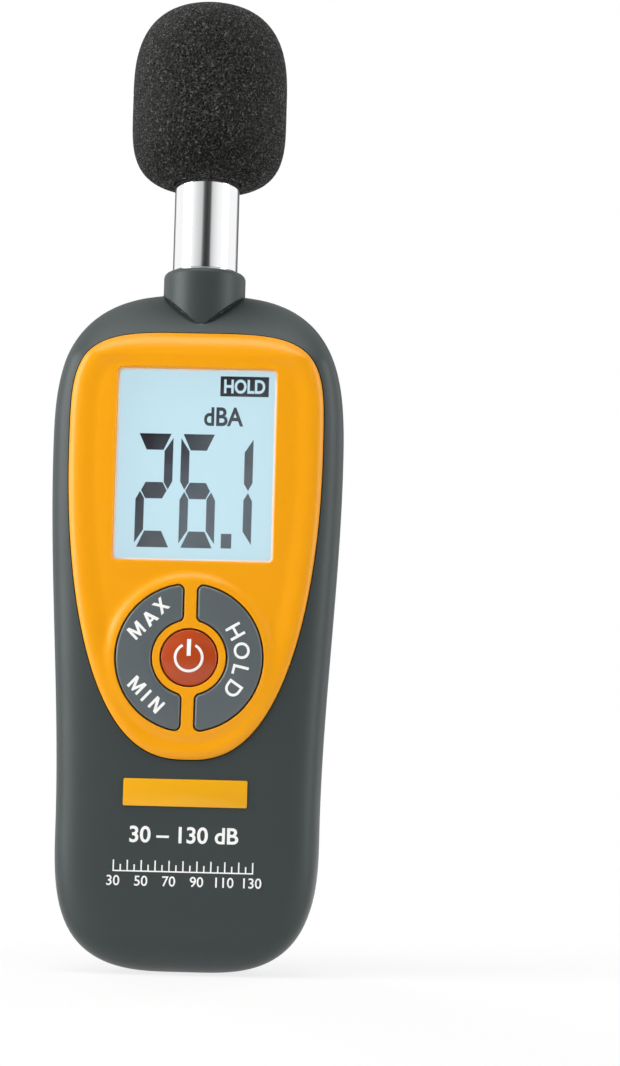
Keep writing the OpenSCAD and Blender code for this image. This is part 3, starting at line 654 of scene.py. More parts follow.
ink_sunk = 0.005
scale_low, scale_high, scale_w, scale_z = 30, 130, 26, 19.4
tick_w, long_tick, short_tick, base_h = 0.26, 1.9, 1.1, 0.24
parts = [glyphs(f"{scale_low} – {scale_high} dB", 3.1, (0, 26.1), weight=0.02)]
for level in range(scale_low, scale_high + 1, 5):
    x = (level - (scale_low + scale_high) / 2) / (scale_high - scale_low) * scale_w
    tick_h = long_tick if level % 10 == 0 else short_tick
    parts.append(bar(x - tick_w / 2, x + tick_w / 2, scale_z, scale_z + tick_h))
    if (level - scale_low) % 20 == 0:
        parts.append(glyphs(str(level), 1.9, (x, scale_z - 1.9), weight=0.01))
scale_end = scale_w / 2 + tick_w / 2
parts.append(bar(-scale_end, scale_end, scale_z - base_h, scale_z))
case_print = printed("case_print", parts, front_y + ink_sunk)
# Two-part printing ink: an opaque white with a slightly uneven, chalky surface
white_ink = moulded("white_ink_printed", "#FCFCFB", "#F4F4F2", 0.5, 0.12, 0.003)
fitted(case_print, white_ink, "case")

# ---------------------------------------------------------------- Display
# A reflective liquid crystal cell with black segments, held in a white frame over a light guide,
# behind a clear acrylic lens that is bonded into the fascia.
digit_h, digit_top, stroke_h, stroke_v, segment_gap = 21.9, 6.2, 3.15, 1.65, 0.2


def digit(left, right, segments):
    """Seven-segment figure; segments names the lit ones, clockwise from a at the top, then g."""
    top, low = window_z + digit_top, window_z + digit_top - digit_h
    middle = (top + low) / 2
    g, h, v, half = segment_gap, stroke_h, stroke_v, stroke_h / 2
    cross = [(left + v / 2 + g, 0), (left + v + g, half), (right - v - g, half),
             (right - v / 2 - g, 0), (right - v - g, -half), (left + v + g, -half)]
    cap = [(left + 2 * g, 0), (right - 2 * g, 0), (right - v - g, h), (left + v + g, h)]
    upright = [(0, top - 4 * g), (0, middle + half + g), (v / 2, middle + g), (v, middle + half),
               (v, top - h - g)]
    shapes = {
        "a": [(x, top - z) for x, z in cap],
        "d": [(x, low + z) for x, z in cap],
        "g": [(x, middle + z) for x, z in cross],
        "f": [(left + x, z) for x, z in upright],
        "b": [(right - x, z) for x, z in upright],
        "e": [(left + x, 2 * middle - z) for x, z in upright],
        "c": [(right - x, 2 * middle - z) for x, z in upright],
    }
    return [one_face(shapes[s]) for s in segments]


point_box = (5.1, 7.1, window_z - 15.65, window_z - 12.85)
hold_box = (4.2, 13.5, window_z + 13.65, window_z + 17.55)
hold_middle = (sum(hold_box[:2]) / 2, sum(hold_box[2:]) / 2)
segment_t, hold_t, print_gap = 0.02, 0.015, 0.005
segments = [
    *digit(-11.45, -4.5, "abged"), *digit(-3.0, 3.8, "afgecd"), *digit(4.05, 10.85, "bc"),
    bar(*point_box), bar(*hold_box),
    glyphs("dBA", 3.65, (5.0, window_z + 9.7), weight=0.022, narrow=0.86),
]
reading = printed("display_segments", segments, lcd_y - print_gap, segment_t)
hold_words = printed("display_hold", [
    glyphs("HOLD", 2.75, hold_middle, weight=0.03, narrow=0.8)],
    lcd_y - print_gap - segment_t, hold_t)
# Driven liquid crystal: near-black blue, painted a little lighter and greyer towards the lower
# right as a painted sheen of the lens's reflection. The ends of that fade are places from the
# window's middle.
dark_end, sheen_end = (-11, 6), (4, -9)
liquid_dark, tree, surface, place = material("liquid_crystal_dark")
apart = add(tree, "ShaderNodeSeparateXYZ", {0: place})
lean = add(tree, "ShaderNodeMath", {
    0: apart.outputs["X"], 1: apart.outputs["Z"]}, operation="SUBTRACT")
# Painted sheen: the segments lighten from the upper left to the lower right
fade = add(tree, "ShaderNodeMapRange", {
    "Value": lean.outputs[0], "From Min": (dark_end[0] - window_z - dark_end[1]) * mm,
    "From Max": (sheen_end[0] - window_z - sheen_end[1]) * mm})
cloud = add(tree, "ShaderNodeTexNoise", {"Vector": place, "Scale": 1 / (5 * mm), "Detail": 2})
uneven = add(tree, "ShaderNodeMath", {
    0: cloud.outputs[0], 1: 0.5, 2: fade.outputs[0]}, operation="MULTIPLY_ADD")
steady = add(tree, "ShaderNodeMath", {0: uneven.outputs[0], 1: 0.25}, operation="SUBTRACT")
tone = add(tree, "ShaderNodeMix", {
    0: steady.outputs[0], 6: hex_colour("#2A2931"), 7: hex_colour("#717B84")}, data_type="RGBA")
feed(tree, surface, {"Base Color": tone.outputs[2], "Roughness": 0.4, "Specular IOR Level": 0.1})
fitted(reading, liquid_dark, "case")

# The cell's glass over a grey-blue reflector, with a barely seen cloudiness. Its pale blue is a
# painted
# glow: an emission that lifts it evenly and hides the shade of the window's recess.
lcd_glass_painted_glow, tree, surface, place = material("liquid_crystal_clear_painted_glow")
cloud = add(tree, "ShaderNodeTexNoise", {"Vector": place, "Scale": 1 / (12 * mm), "Detail": 2})
tone = add(tree, "ShaderNodeMix", {
    0: cloud.outputs[0], 6: hex_colour("#56686F"), 7: hex_colour("#5A6C73")}, data_type="RGBA")
speck = add(tree, "ShaderNodeTexNoise", {"Vector": place, "Scale": 1 / (0.15 * mm)})
bump = add(tree, "ShaderNodeBump", {"Height": speck.outputs[0], "Distance": 0.001 * mm})
feed(tree, surface, {
    "Base Color": tone.outputs[2], "Normal": bump.outputs[0], "Roughness": 0.35,
    "Specular IOR Level": 0.1, "Emission Color": hex_colour("#C9E9F5"), "Emission Strength": 0.9})
# The HOLD word takes the same painted glow
fitted(hold_words, lcd_glass_painted_glow, "case")


def refinish(node, finish):
    """Gives a CAD node that keeps its shape its material."""
    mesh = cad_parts[node].data
    mesh.materials.clear()
    mesh.materials.append(finish)


refinish("lcd_cell", lcd_glass_painted_glow)

# Cast acrylic lens with ground, softly bevelled edges; nearly clear, so it only adds a faint gloss
lens_edge = [(lens_lap, lens_y + lens_t), (lens_lap, lens_y + 0.1), (lens_lap - 0.1, lens_y)]
lens = stepped(lambda g: window_outline(g, 0.4), lens_edge, "window_lens")
acrylic, tree, surface, place = material("cast_acrylic_clear")
haze = add(tree, "ShaderNodeTexNoise", {"Vector": place, "Scale": 1 / (9 * mm), "Detail": 3})
sheen = add(tree, "ShaderNodeMapRange", {"Value": haze.outputs[0], "To Min": 0.05, "To Max": 0.14})
feed(tree, surface, {
    "Base Color": hex_colour("#4A5052"), "Roughness": sheen.outputs[0], "Alpha": 0.04,
    "IOR": 1.49})
fitted(lens, acrylic, "case", ["display_window"])

# A fine white line round the lens's opening, drawn as print on the lens: a painted highlight of the
# window's edge
line_w, line_round = 0.36, 0.55
outside, inside = window_outline(), window_outline(-line_w, line_round)
count = len(outside)
line = printed("window_line", [(np.concatenate([outside, inside]), [
    [i, (i + 1) % count, count + (i + 1) % count, count + i] for i in range(count)])],
    lens_y - print_gap, 0.02)
fitted(line, white_ink, "case")

# Closed-cell foam, white ABS, opal acrylic and layered silicone: the hidden parts of the display
black_foam = moulded("black_foam_closed", "#1B1C1D", "#26282A", 0.85, 0.25, 0.05)
white_abs = moulded("white_abs_moulded", "#E4E4DF", "#DCDCD6", 0.45, 0.4, 0.008)
opal_acrylic = moulded("opal_acrylic_diffusing", "#EDF4F7", "#E4EEF3", 0.25, 0.8, 0.004)
refinish("window_gasket", black_foam)
refinish("display_holder", white_abs)
refinish("backlight", opal_acrylic)

# Elastomer connector: pink silicone with layers of carbon, drawn 0.25 mm apart, where the real ones
# are finer
layer_step = 0.25
layered_silicone, tree, surface, place = material("layered_silicone")
layers = add(tree, "ShaderNodeTexWave", {
    "Vector": place, "Scale": 0.05 / (layer_step * mm), "Distortion": 0.1})
tone = add(tree, "ShaderNodeMix", {
    0: layers.outputs[1], 6: hex_colour("#D79A92"), 7: hex_colour("#4A4143")}, data_type="RGBA")
feed(tree, surface, {"Base Color": tone.outputs[2], "Roughness": 0.55})
refinish("lcd_connectors", layered_silicone)

# ---------------------------------------------------------------- Circuit board
# Glass-fibre board with green solder resist over copper, screwed to four posts of the front shell.
# It carries black epoxy chips, and the battery and microphone leads reach it from behind.
solder_resist, tree, surface, place = material("solder_resist_green")
turned_flat = add(tree, "ShaderNodeMapping", {"Vector": place, "Rotation": (math.pi / 2, 0, 0)})
tracks = add(tree, "ShaderNodeTexBrick", {
    "Vector": turned_flat.outputs[0], "Scale": 1 / (5 * mm), "Mortar Size": 0.06,
    "Brick Width": 0.9, "Row Height": 0.24, "Color1": hex_colour("#1E6B43"),
    "Color2": hex_colour("#237349"), "Mortar": hex_colour("#3C8F5B")}, offset=0.37)
bump = add(tree, "ShaderNodeBump", {"Height": tracks.outputs["Fac"], "Distance": 0.035 * mm})
feed(tree, surface, {
    "Base Color": tracks.outputs["Color"], "Normal": bump.outputs[0], "Roughness": 0.3})
refinish("main_board", solder_resist)
black_epoxy = moulded("black_epoxy_moulded", "#1A1B1D", "#232427", 0.6, 0.15, 0.01)
refinish("board_chips", black_epoxy)

# ---------------------------------------------------------------- Keys
# Two curved ABS keys round a domed one stand in the fascia's openings. Each has a foot that the
# fascia keeps in, and rests on a silicone mat over switches. Their symbols are printed in white.
key_rise, key_soft = 1.1, 0.5
key_top = front_y - key_rise
foot_y, foot_out = wall_y + fit + foot_t, key_gap + foot_lip
key_rings = [(foot_out, foot_y), (foot_out, wall_y + fit), (0, wall_y + fit)] + [
    (-key_soft * (1 - math.cos(a)), key_top + key_soft * (1 - math.sin(a)))
    for a in np.linspace(0, np.pi / 2, 7)]
keys = {side: stepped(lambda g: key_outline(side, g), key_rings, name)
        for side, name in ((-1, "key_max_min"), (1, "key_hold"))}
# The keys' grey is a little lighter and bluer than the case, with a smooth satin face
key_abs = moulded("grey_abs_keys", "#5D6568", "#596164", 0.3, 0.3, 0.005)
fitted(keys[-1], key_abs, "max_min_key", ["max_min_key"])
fitted(keys[1], key_abs, "hold_key", ["hold_key"])


def block_letter(character, place, turn, h=2.7, s=0.52):
    """Flat parts of a bold capital without serifs, centred on a place; s is its strokes' width."""
    w = {"I": s, "N": 2.1, "A": 2.5, "X": 2.35, "M": 2.65}[character]
    wide, half = 1.2 * s, w / 2
    if character == "I":
        shapes = [[(0, 0), (w, 0), (w, h), (0, h)]]
    elif character == "N":
        notch = h * s / (w - wide)
        shapes = [[(0, 0), (s, 0), (s, h - notch), (w - wide, 0), (w, 0), (w, h), (w - s, h),
                   (w - s, notch), (wide, h), (0, h)]]
    elif character == "M":
        dip, flat = 0.38 * h, 0.12
        notch = (h - dip) / (half - wide) * (half - flat - s)
        shapes = [[(0, 0), (s, 0), (s, notch), (half - flat, 0), (half + flat, 0), (w - s, notch),
                   (w - s, 0), (w, 0), (w, h), (w - wide, h), (half, dip), (wide, h), (0, h)]]
    elif character == "X":
        notch, waist = h * (half - wide) / (w - wide), wide / 2
        shapes = [[(0, 0), (wide, 0), (half, notch), (w - wide, 0), (w, 0), (half + waist, h / 2),
                   (w, h), (w - wide, h), (half, h - notch), (wide, h), (0, h),
                   (half - waist, h / 2)]]
    else:
        flat = 0.55 * s
        lean = (half - flat) / h
        leg = [(0, 0), (wide, 0), (half, (half - wide) / lean), (half, h), (half - flat, h)]
        bar_low, bar_high = 0.2 * h, 0.37 * h
        shapes = [leg, [(w - x, z) for x, z in leg],
                  [(wide + bar_low * lean, bar_low), (w - wide - bar_low * lean, bar_low),
                   (w - wide - bar_high * lean, bar_high), (wide + bar_high * lean, bar_high)]]
    middle = (half, h / 2)
    return [one_face(set_down(np.array(shape) - middle, turn, place)) for shape in shapes]


max_min_words = [
    (45, [("M", -10.0, 4.9), ("A", -7.6, 7.3), ("X", -5.5, 9.6)]),
    (-43, [("M", -9.6, -5.4), ("I", -7.8, -7.3), ("N", -5.8, -9.0)])]
parts = [part for slope, word in max_min_words for character, x, z in word
         for part in block_letter(character, (x, keypad_z + z), math.radians(slope))]
fitted(printed("print_max_min", parts, key_top + ink_sunk), white_ink, "max_min_key")
hold_word = [("H", 8.6, 5.1), ("O", 9.9, 1.5), ("L", 9.7, -2.2), ("D", 8.4, -5.7)]
parts = [glyphs(character, 3.0, (x, keypad_z + z), math.atan2(z, x) - math.pi / 2, 0.012)
         for character, x, z in hold_word]
fitted(printed("print_hold", parts, key_top + ink_sunk), white_ink, "hold_key")

power_rise, dome_rise, rim_soft, rim_turn = 0.5, 0.85, 0.3, 1.25
power_top = key_top - power_rise
dome_r = (power_r ** 2 + dome_rise ** 2) / (2 * dome_rise)


def dome_y(r):
    return power_top + dome_r - np.sqrt(dome_r ** 2 - np.square(r))


rim_y = power_top + dome_rise
power_rings = [
    (power_r + foot_out, foot_y), (power_r + foot_out, wall_y + fit), (power_r, wall_y + fit)]
power_rings += [
    (power_r - rim_soft * (1 - math.cos(a)), rim_y + rim_soft * (1 - math.sin(a)))
    for a in np.linspace(0, rim_turn, 7)]
power_rings += [(r, dome_y(r)) for r in np.linspace(power_r - rim_soft, 0.05, 22)]
power_key = stepped(lambda r: circle(2 * r, (0, keypad_z), 128), power_rings, "key_power")
# A warmer, glossier ABS in deep orange-red, slightly cloudy from the pigment
red_abs = moulded("red_abs_polished", "#BC4A17", "#AE4012", 0.24, 0.9, 0.006)
fitted(power_key, red_abs, "power_key", ["power_key"])

ring_r, ring_w, ring_open, ring_steps = 2.55, 0.5, math.radians(28), 60
bar_w, bar_low, bar_high, bar_steps = 0.75, 0.3, 3.45, 8
a = np.linspace(np.pi / 2 + ring_open, 5 * np.pi / 2 - ring_open, ring_steps + 1)
count = len(a)
ring = np.concatenate([
    np.stack([r * np.cos(a), keypad_z + r * np.sin(a)], -1)
    for r in (ring_r - ring_w / 2, ring_r + ring_w / 2)])
parts = [(ring, [[i, i + 1, i + count + 1, i + count] for i in range(ring_steps)])]
parts += [
    bar(-bar_w / 2, bar_w / 2, keypad_z + z, keypad_z + z + (bar_high - bar_low) / bar_steps)
    for z in np.linspace(bar_low, bar_high, bar_steps + 1)[:-1]]
symbol = printed("print_power", parts, 0)
for v in symbol.data.vertices:
    v.co.y += (dome_y(math.hypot(v.co.x / mm, v.co.z / mm - keypad_z)) + ink_sunk) * mm
fitted(symbol, white_ink, "power_key")

# Translucent silicone mat over steel-topped switches
silicone = moulded("white_silicone_moulded", "#DAD8D0", "#D2CFC6", 0.6, 0.5, 0.01)
tinned_steel = moulded("tinned_steel", "#B9BBBA", "#A7A9A8", 0.32, 0.4, 0.004, metallic=1)
refinish("key_mat", silicone)
refinish("key_switches", tinned_steel)

# ---------------------------------------------------------------- Microphone
# A chromed brass tube of half-inch size, flanged inside the case. A turned grid cap with slots
# presses into its top and covers the capsule, which sits in a silicone holder on two leads.
foam_z, grid_z, tube_top = 152, 172.5, 176
bare_low, bare_top = collar_top + 0.3, foam_z + 1.6
ease = 0.08
tube_r, neck_r, flange_r = tube_d / 2, neck_d / 2, tube_d / 2 + flange_lip
tube = turned([
    (bore_d / 2, flange_z), (flange_r, flange_z), (flange_r, flange_z + flange_t),
    (neck_r, flange_z + flange_t), (neck_r, bare_low), (tube_r - ease, bare_low),
    (tube_r, bare_low + ease), (tube_r, bare_top - ease), (tube_r - ease, bare_top),
    (neck_r, bare_top), (neck_r, grid_z), (bore_d / 2, grid_z)], "microphone_tube_turned", True)
# Bright chrome plate on brass: mirror-like, with the finest lengthwise polishing marks
bright_chrome, tree, surface, place = material("bright_chrome_plate")
drawn_out = add(tree, "ShaderNodeMapping", {"Vector": place, "Scale": (1, 1, 0.04)})
polish = add(tree, "ShaderNodeTexNoise", {
    "Vector": drawn_out.outputs[0], "Scale": 1 / (0.35 * mm), "Detail": 2})
sheen = add(tree, "ShaderNodeMapRange", {"Value": polish.outputs[0], "To Min": 0.03, "To Max": 0.1})
bump = add(tree, "ShaderNodeBump", {"Height": polish.outputs[0], "Distance": 0.0004 * mm})
feed(tree, surface, {
    "Base Color": hex_colour("#F6F7F8"), "Metallic": 1, "Roughness": sheen.outputs[0],
    "Normal": bump.outputs[0]})
fitted(tube, bright_chrome, "case", ["microphone_tube"])

cap_t, grid_in_r, grid_round = 0.8, 4.9, 0.4
spigot_h, spigot_r = 2, bore_d / 2 - fit
grid_slots, slot_w, slot_half, slot_deep = 5, 0.9, grid_in_r - 0.25, 2
grid_cap = turned([
    (0.05, tube_top - cap_t), (grid_in_r, tube_top - cap_t), (grid_in_r, grid_z - spigot_h),
    (spigot_r, grid_z - spigot_h), (spigot_r, grid_z), (tube_r - ease, grid_z),
    (tube_r, grid_z + ease)]
    + [(tube_r - grid_round * (1 - math.cos(t)), tube_top - grid_round * (1 - math.sin(t)))
       for t in np.linspace(0, np.pi / 2, 6)]
    + [(0.05, tube_top)], "microphone_grid_cap")
slot_places = [tube_y + 2 * i * slot_w for i in range(-(grid_slots // 2), grid_slots // 2 + 1)]
cut(grid_cap, [block((-slot_half, y - slot_w / 2, tube_top - slot_deep),
                     (slot_half, y + slot_w / 2, tube_top + slot_deep)) for y in slot_places])
fitted(grid_cap, bright_chrome, "case", ["microphone_grid"])

# Anodised aluminium can, nylon plug and soft PVC wire
anodised = moulded("anodised_aluminium", "#AEB3B6", "#A2A7AA", 0.36, 0.25, 0.003, metallic=1)
red_pvc = moulded("red_pvc_wire", "#A8322A", "#9A2C25", 0.42, 0.6, 0.005)
nylon = moulded("natural_nylon", "#E9E5D8", "#E1DCCD", 0.42, 0.5, 0.006)
refinish("microphone_capsule", anodised)
refinish("capsule_holder", silicone)
refinish("microphone_leads", red_pvc)
refinish("microphone_plug", nylon)

# ---------------------------------------------------------------- Windscreen
# A ball of black open-cell polyurethane foam, ground to shape, with a blind bore that grips the
# tube. It pulls off upwards. The cut cells leave fine pits all over it.
foam_d, foam_h, foam_bore_r, foam_bore_z = 30.4, 38.5, tube_d / 2 + 0.3, 176.3
foam_under, foam_over, foam_hollow = 0.35, 1.5, 1.2
foam_low_power, foam_high_power, foam_rows = 3.6, 2.7, 330
low, high = 0.41 * foam_h, 0.49 * foam_h
t = np.linspace(0.2, np.pi, 6000)
z = foam_h * (1 - np.cos(t)) / 2
r = (foam_d / 2 * curve((low - z) / low, foam_low_power, foam_low_power)
     * curve((z - high) / (foam_h - high), foam_high_power, foam_high_power))
way = np.concatenate([[0], np.cumsum(np.hypot(np.diff(r), np.diff(z)))])
rows = np.linspace(0, way[-1] - 0.05, foam_rows)
row_z = np.interp(rows, way, z)
drawn = np.interp(row_z, [0, low, high, foam_h], [foam_under, 0, 0, -foam_over])
outer = np.stack([np.interp(rows, way, r), row_z + foam_z + drawn], -1)
bore = [(0.05, foam_bore_z), (foam_bore_r, foam_bore_z), (foam_bore_r, foam_z + 12),
        (foam_bore_r, foam_z + 2)]
hollow_z, (edge_r, edge_z) = foam_z + foam_hollow, outer[0]
lip = [(foam_bore_r + 0.1, hollow_z + 0.25)] + [
    (foam_bore_r + s * (edge_r - foam_bore_r), edge_z + (1 - s) ** 2 * (hollow_z - edge_z))
    for s in (0.15, 0.35, 0.55, 0.75)]
windscreen = turned(bore + lip + outer.tolist(), "windscreen_foam", count=540)

# Each point that isn't in the bore sinks into the nearest cell, but stays up on the cells' walls
pore_size, pore_depth, cell_wall, cell_slope = 0.55, 0.3, 0.05, 0.4
places = np.array([v.co for v in windscreen.data.vertices]) / mm
outwards = np.array([v.normal for v in windscreen.data.vertices])
for i, place in enumerate(places):
    from_axis = math.hypot(place[0], place[1] - tube_y)
    if from_axis > foam_bore_r + 0.5 or place[2] > foam_bore_z + 3:
        nearest = noise.voronoi(Vector(place) / pore_size)[0]
        open_cell = min(1, max(0, (nearest[1] - nearest[0] - cell_wall) / cell_slope))
        places[i] -= outwards[i] * pore_depth * open_cell * open_cell * (3 - 2 * open_cell)
windscreen.data.vertices.foreach_set("co", (places * mm).ravel())
# Polyurethane foam, dyed through: dull near-black. The grey specks on the walls of the cut cells
# are painted highlights, glints put into the colour.
foam, tree, surface, place = material("polyurethane_foam_black")
cells = add(tree, "ShaderNodeTexVoronoi", {"Vector": place, "Scale": 1 / (0.42 * mm)})
glint = add(tree, "ShaderNodeTexNoise", {"Vector": place, "Scale": 1 / (0.16 * mm), "Detail": 1})
mixed = add(tree, "ShaderNodeMath", {
    0: cells.outputs["Distance"], 1: glint.outputs[0]}, operation="MULTIPLY")
lit = add(tree, "ShaderNodeMapRange", {
    "Value": mixed.outputs[0], "From Min": 0.32, "From Max": 0.5})
# Painted highlights: the grey of the lit specks is in the base colour
tone = add(tree, "ShaderNodeMix", {
    0: lit.outputs[0], 6: hex_colour("#0C0C0B"), 7: hex_colour("#7A7974")}, data_type="RGBA")
bump = add(tree, "ShaderNodeBump", {"Height": mixed.outputs[0], "Distance": 0.6 * mm})
feed(tree, surface, {
    "Base Color": tone.outputs[2], "Normal": bump.outputs[0], "Roughness": 0.5,
    "Specular IOR Level": 0.3})
fitted(windscreen, foam, "windscreen", ["windscreen"], 180)

# ---------------------------------------------------------------- Battery bay
# Three size AAA cells lie side by side behind a door that slides off downwards on two runners.
# Plated steel contacts and cone springs connect them in series.
door_z, runner_end = 7, 3
grip_slots, grip_slot_w, grip_slot_h = 6, 14, 1
grip_drop, grip_step, grip_deep = 6, 2, 0.5
door = half_form(1, depth_rear, rear_power, "battery_cover")
cut(door, [block((-door_half_w, ledge_y + door_gap, door_z),
                 (door_half_w, far, door_top - door_gap))], "INTERSECT")
cut(door, [block((-grip_slot_w / 2, rear_y - grip_deep, z), (grip_slot_w / 2, far, z + grip_slot_h))
           for z in (door_top - grip_drop - grip_step * i for i in range(grip_slots))])
cut(door, [block(
    (-door_half_w - runner_w, ledge_y + door_gap, door_z + runner_end),
    (door_half_w + runner_w, ledge_y + door_gap + runner_t, door_top - runner_end))], "UNION")
fitted(door, grey_abs, "battery_door", ["battery_door"])

cell_r, cell_l, contact_t, spring_l, sleeve_band = 5.25, 44.5, 0.4, 4.2, (33, 34.6)
cell_profile = [
    (0.05, 0), (3.6, 0), (3.9, 0.25), (4.5, 0.25), (4.8, 0.05), (5.05, 0.08), (5.2, 0.2),
    (cell_r, 0.4), (cell_r, 1.6), (cell_r, sleeve_band[0]), (cell_r, sleeve_band[1]),
    (cell_r, 43.1), (5.2, 43.3), (4.95, 43.55), (4.3, 43.6), (4.1, 43.35), (1.9, 43.35),
    (1.9, 44.3), (1.8, cell_l), (0.05, cell_l)]
# Nickel-plated can ends, and a shrunk sleeve of printed film with a plain light band
nickel = moulded("nickel_plated_steel", "#C9C8C2", "#BBBAB4", 0.25, 0.5, 0.003, metallic=1)
sleeve_film = moulded("shrink_film_blue", "#2F5F94", "#2A5687", 0.25, 0.8, 0.006)
band_film = moulded("shrink_film_light", "#D8DCDD", "#CFD4D6", 0.25, 0.8, 0.006)
for i in range(3):
    x, rising = (i - 1) * cell_pitch, i % 2 == 0
    start = bay_in_z + contact_t + (spring_l if rising else cell_l)
    cell = turned([(r, start + (s if rising else -s)) for r, s in cell_profile],
                  f"cell_{i + 1}", count=72, axis=(x, cell_y))
    fitted(cell, nickel, "case", [f"battery_cell_{i + 1}"])
    cell.data.materials.append(sleeve_film)
    cell.data.materials.append(band_film)
    for face in cell.data.polygons:
        s = abs(face.center.z / mm - start)
        if math.hypot(face.center.x / mm - x, face.center.y / mm - cell_y) > cell_r - 0.05:
            face.material_index = 2 if sleeve_band[0] < s < sleeve_band[1] else 1

# Each spring stands on the contact at its cell's negative end, and narrows towards the cell
spring_turns, spring_wire, spring_r = 3, 0.5, (3.57, 2.415)
round_wire = np.arange(12) * math.pi / 6
for i in range(3):
    rising = i % 2 == 0
    foot = bay_in_z + (contact_t if rising else bay_l - contact_t)
    rings = []
    for t in np.linspace(0, 1, 28 * spring_turns + 1):
        a = 2 * math.pi * spring_turns * t
        r = spring_r[0] + (spring_r[1] - spring_r[0]) * t
        height = spring_wire / 2 + (spring_l - spring_wire) * t
        reach = r + spring_wire / 2 * np.cos(round_wire)
        rise = height + spring_wire / 2 * np.sin(round_wire)
        rings.append(np.stack([
            (i - 1) * cell_pitch + reach * math.cos(a), cell_y + reach * math.sin(a),
            foot + (rise if rising else -rise)], -1))
    fitted(loft(rings, f"spring_{i + 1}"), nickel, "case", ["battery_springs"])
refinish("battery_contacts", nickel)
refinish("battery_leads", red_pvc)

# ---------------------------------------------------------------- Screws
# Pan-head screws with a cross recess. Four hold the shells together, from behind, in deep
# counterbores; four smaller ones hold the board on its posts.
screw_tree = bpy.data.node_groups.new("cross_recess_screws", "GeometryNodeTree")
screw_tree.interface.new_socket("Places", in_out="INPUT", socket_type="NodeSocketGeometry")
for name in ("Head diameter", "Head height", "Shank diameter", "Shank length", "Recess width",
             "Recess depth"):
    screw_tree.interface.new_socket(name, in_out="INPUT", socket_type="NodeSocketFloat")
screw_tree.interface.new_socket("Finish", in_out="INPUT", socket_type="NodeSocketMaterial")
screw_tree.interface.new_socket("Screws", in_out="OUTPUT", socket_type="NodeSocketGeometry")
given = add(screw_tree, "NodeGroupInput").outputs

# Each share of a given size that the nodes below need
shares = {}
for size, share in (("Head diameter", 0.4), ("Head diameter", 0.5), ("Head diameter", 0.6),
                    ("Shank diameter", 0.5), ("Shank length", -0.5), ("Recess depth", 2)):
    shares[size, share] = add(
        screw_tree, "ShaderNodeMath", {0: given[size], 1: share}, operation="MULTIPLY").outputs[0]

head = add(screw_tree, "GeometryNodeMeshCone", {
    "Vertices": 48, "Radius Top": shares["Head diameter", 0.4],
    "Radius Bottom": shares["Head diameter", 0.5], "Depth": given["Head height"]})
slot_size = add(screw_tree, "ShaderNodeCombineXYZ", {
    "X": given["Recess width"], "Y": shares["Head diameter", 0.6], "Z": shares["Recess depth", 2]})
slot_block = add(screw_tree, "GeometryNodeMeshCube", {"Size": slot_size.outputs[0]})
head_top = add(screw_tree, "ShaderNodeCombineXYZ", {"Z": given["Head height"]})
slot = add(screw_tree, "GeometryNodeTransform", {
    "Geometry": slot_block.outputs["Mesh"], "Translation": head_top.outputs[0]})
crossed = add(screw_tree, "GeometryNodeTransform", {
    "Geometry": slot.outputs[0], "Rotation": (0, 0, math.pi / 2)})
recess = add(screw_tree, "GeometryNodeMeshBoolean", {"Mesh 1": head.outputs["Mesh"]},
             operation="DIFFERENCE", solver="EXACT")
feed(screw_tree, recess, {"Mesh 2": slot.outputs[0]})
feed(screw_tree, recess, {"Mesh 2": crossed.outputs[0]})
shank = add(screw_tree, "GeometryNodeMeshCylinder", {
    "Vertices": 32, "Radius": shares["Shank diameter", 0.5], "Depth": given["Shank length"]})
shank_middle = add(screw_tree, "ShaderNodeCombineXYZ", {"Z": shares["Shank length", -0.5]})
lowered = add(screw_tree, "GeometryNodeTransform", {
    "Geometry": shank.outputs["Mesh"], "Translation": shank_middle.outputs[0]})
screw = add(screw_tree, "GeometryNodeJoinGeometry")
feed(screw_tree, screw, {0: recess.outputs["Mesh"]})
feed(screw_tree, screw, {0: lowered.outputs[0]})
facing = add(screw_tree, "GeometryNodeTransform", {
    "Geometry": screw.outputs[0], "Rotation": (-math.pi / 2, 0, 0)})
placed = add(screw_tree, "GeometryNodeInstanceOnPoints", {
    "Points": given["Places"], "Instance": facing.outputs[0]})
whole = add(screw_tree, "GeometryNodeRealizeInstances", {0: placed.outputs[0]})
finished = add(screw_tree, "GeometryNodeSetMaterial", {
    "Geometry": whole.outputs[0], "Material": given["Finish"]})
add(screw_tree, "NodeGroupOutput", {"Screws": finished.outputs[0]})


def screws(name, places, seat_y, sizes, finish, node):
    """Screws at places in X and Z, with their heads seated at a depth; sizes are in millimetres."""
    mesh = bpy.data.meshes.new(name)
    mesh.from_pydata([(x * mm, seat_y * mm, z * mm) for x, z in places], [], [])
    made = linked(name, mesh)
    maker = made.modifiers.new("screws", "NODES")
    maker.node_group = screw_tree
    for item in screw_tree.interface.items_tree:
        if item.in_out == "INPUT" and item.name in sizes:
            maker[item.identifier] = sizes[item.name] * mm
        elif item.in_out == "INPUT" and item.name == "Finish":
            maker[item.identifier] = finish
    made.data = as_mesh(made)
    made.modifiers.clear()
    fitted(made, finish, "case", [node])


# Zinc-plated steel with a faintly cloudy plating
zinc_steel = moulded("zinc_plated_steel", "#9FA3A6", "#8D9194", 0.34, 0.4, 0.004, metallic=1)
screws("screws_case", screw_places, screw_seat_y, {
    "Head diameter": head_d, "Head height": head_h, "Shank diameter": 2.3, "Shank length": 12.2,
    "Recess width": 0.6, "Recess depth": 0.7}, zinc_steel, "case_screws")
screws("screws_board", post_places, board_back, {
    "Head diameter": 3.2, "Head height": 1, "Shank diameter": 1.6, "Shank length": 5.8,
    "Recess width": 0.5, "Recess depth": 0.5}, zinc_steel, "board_screws")

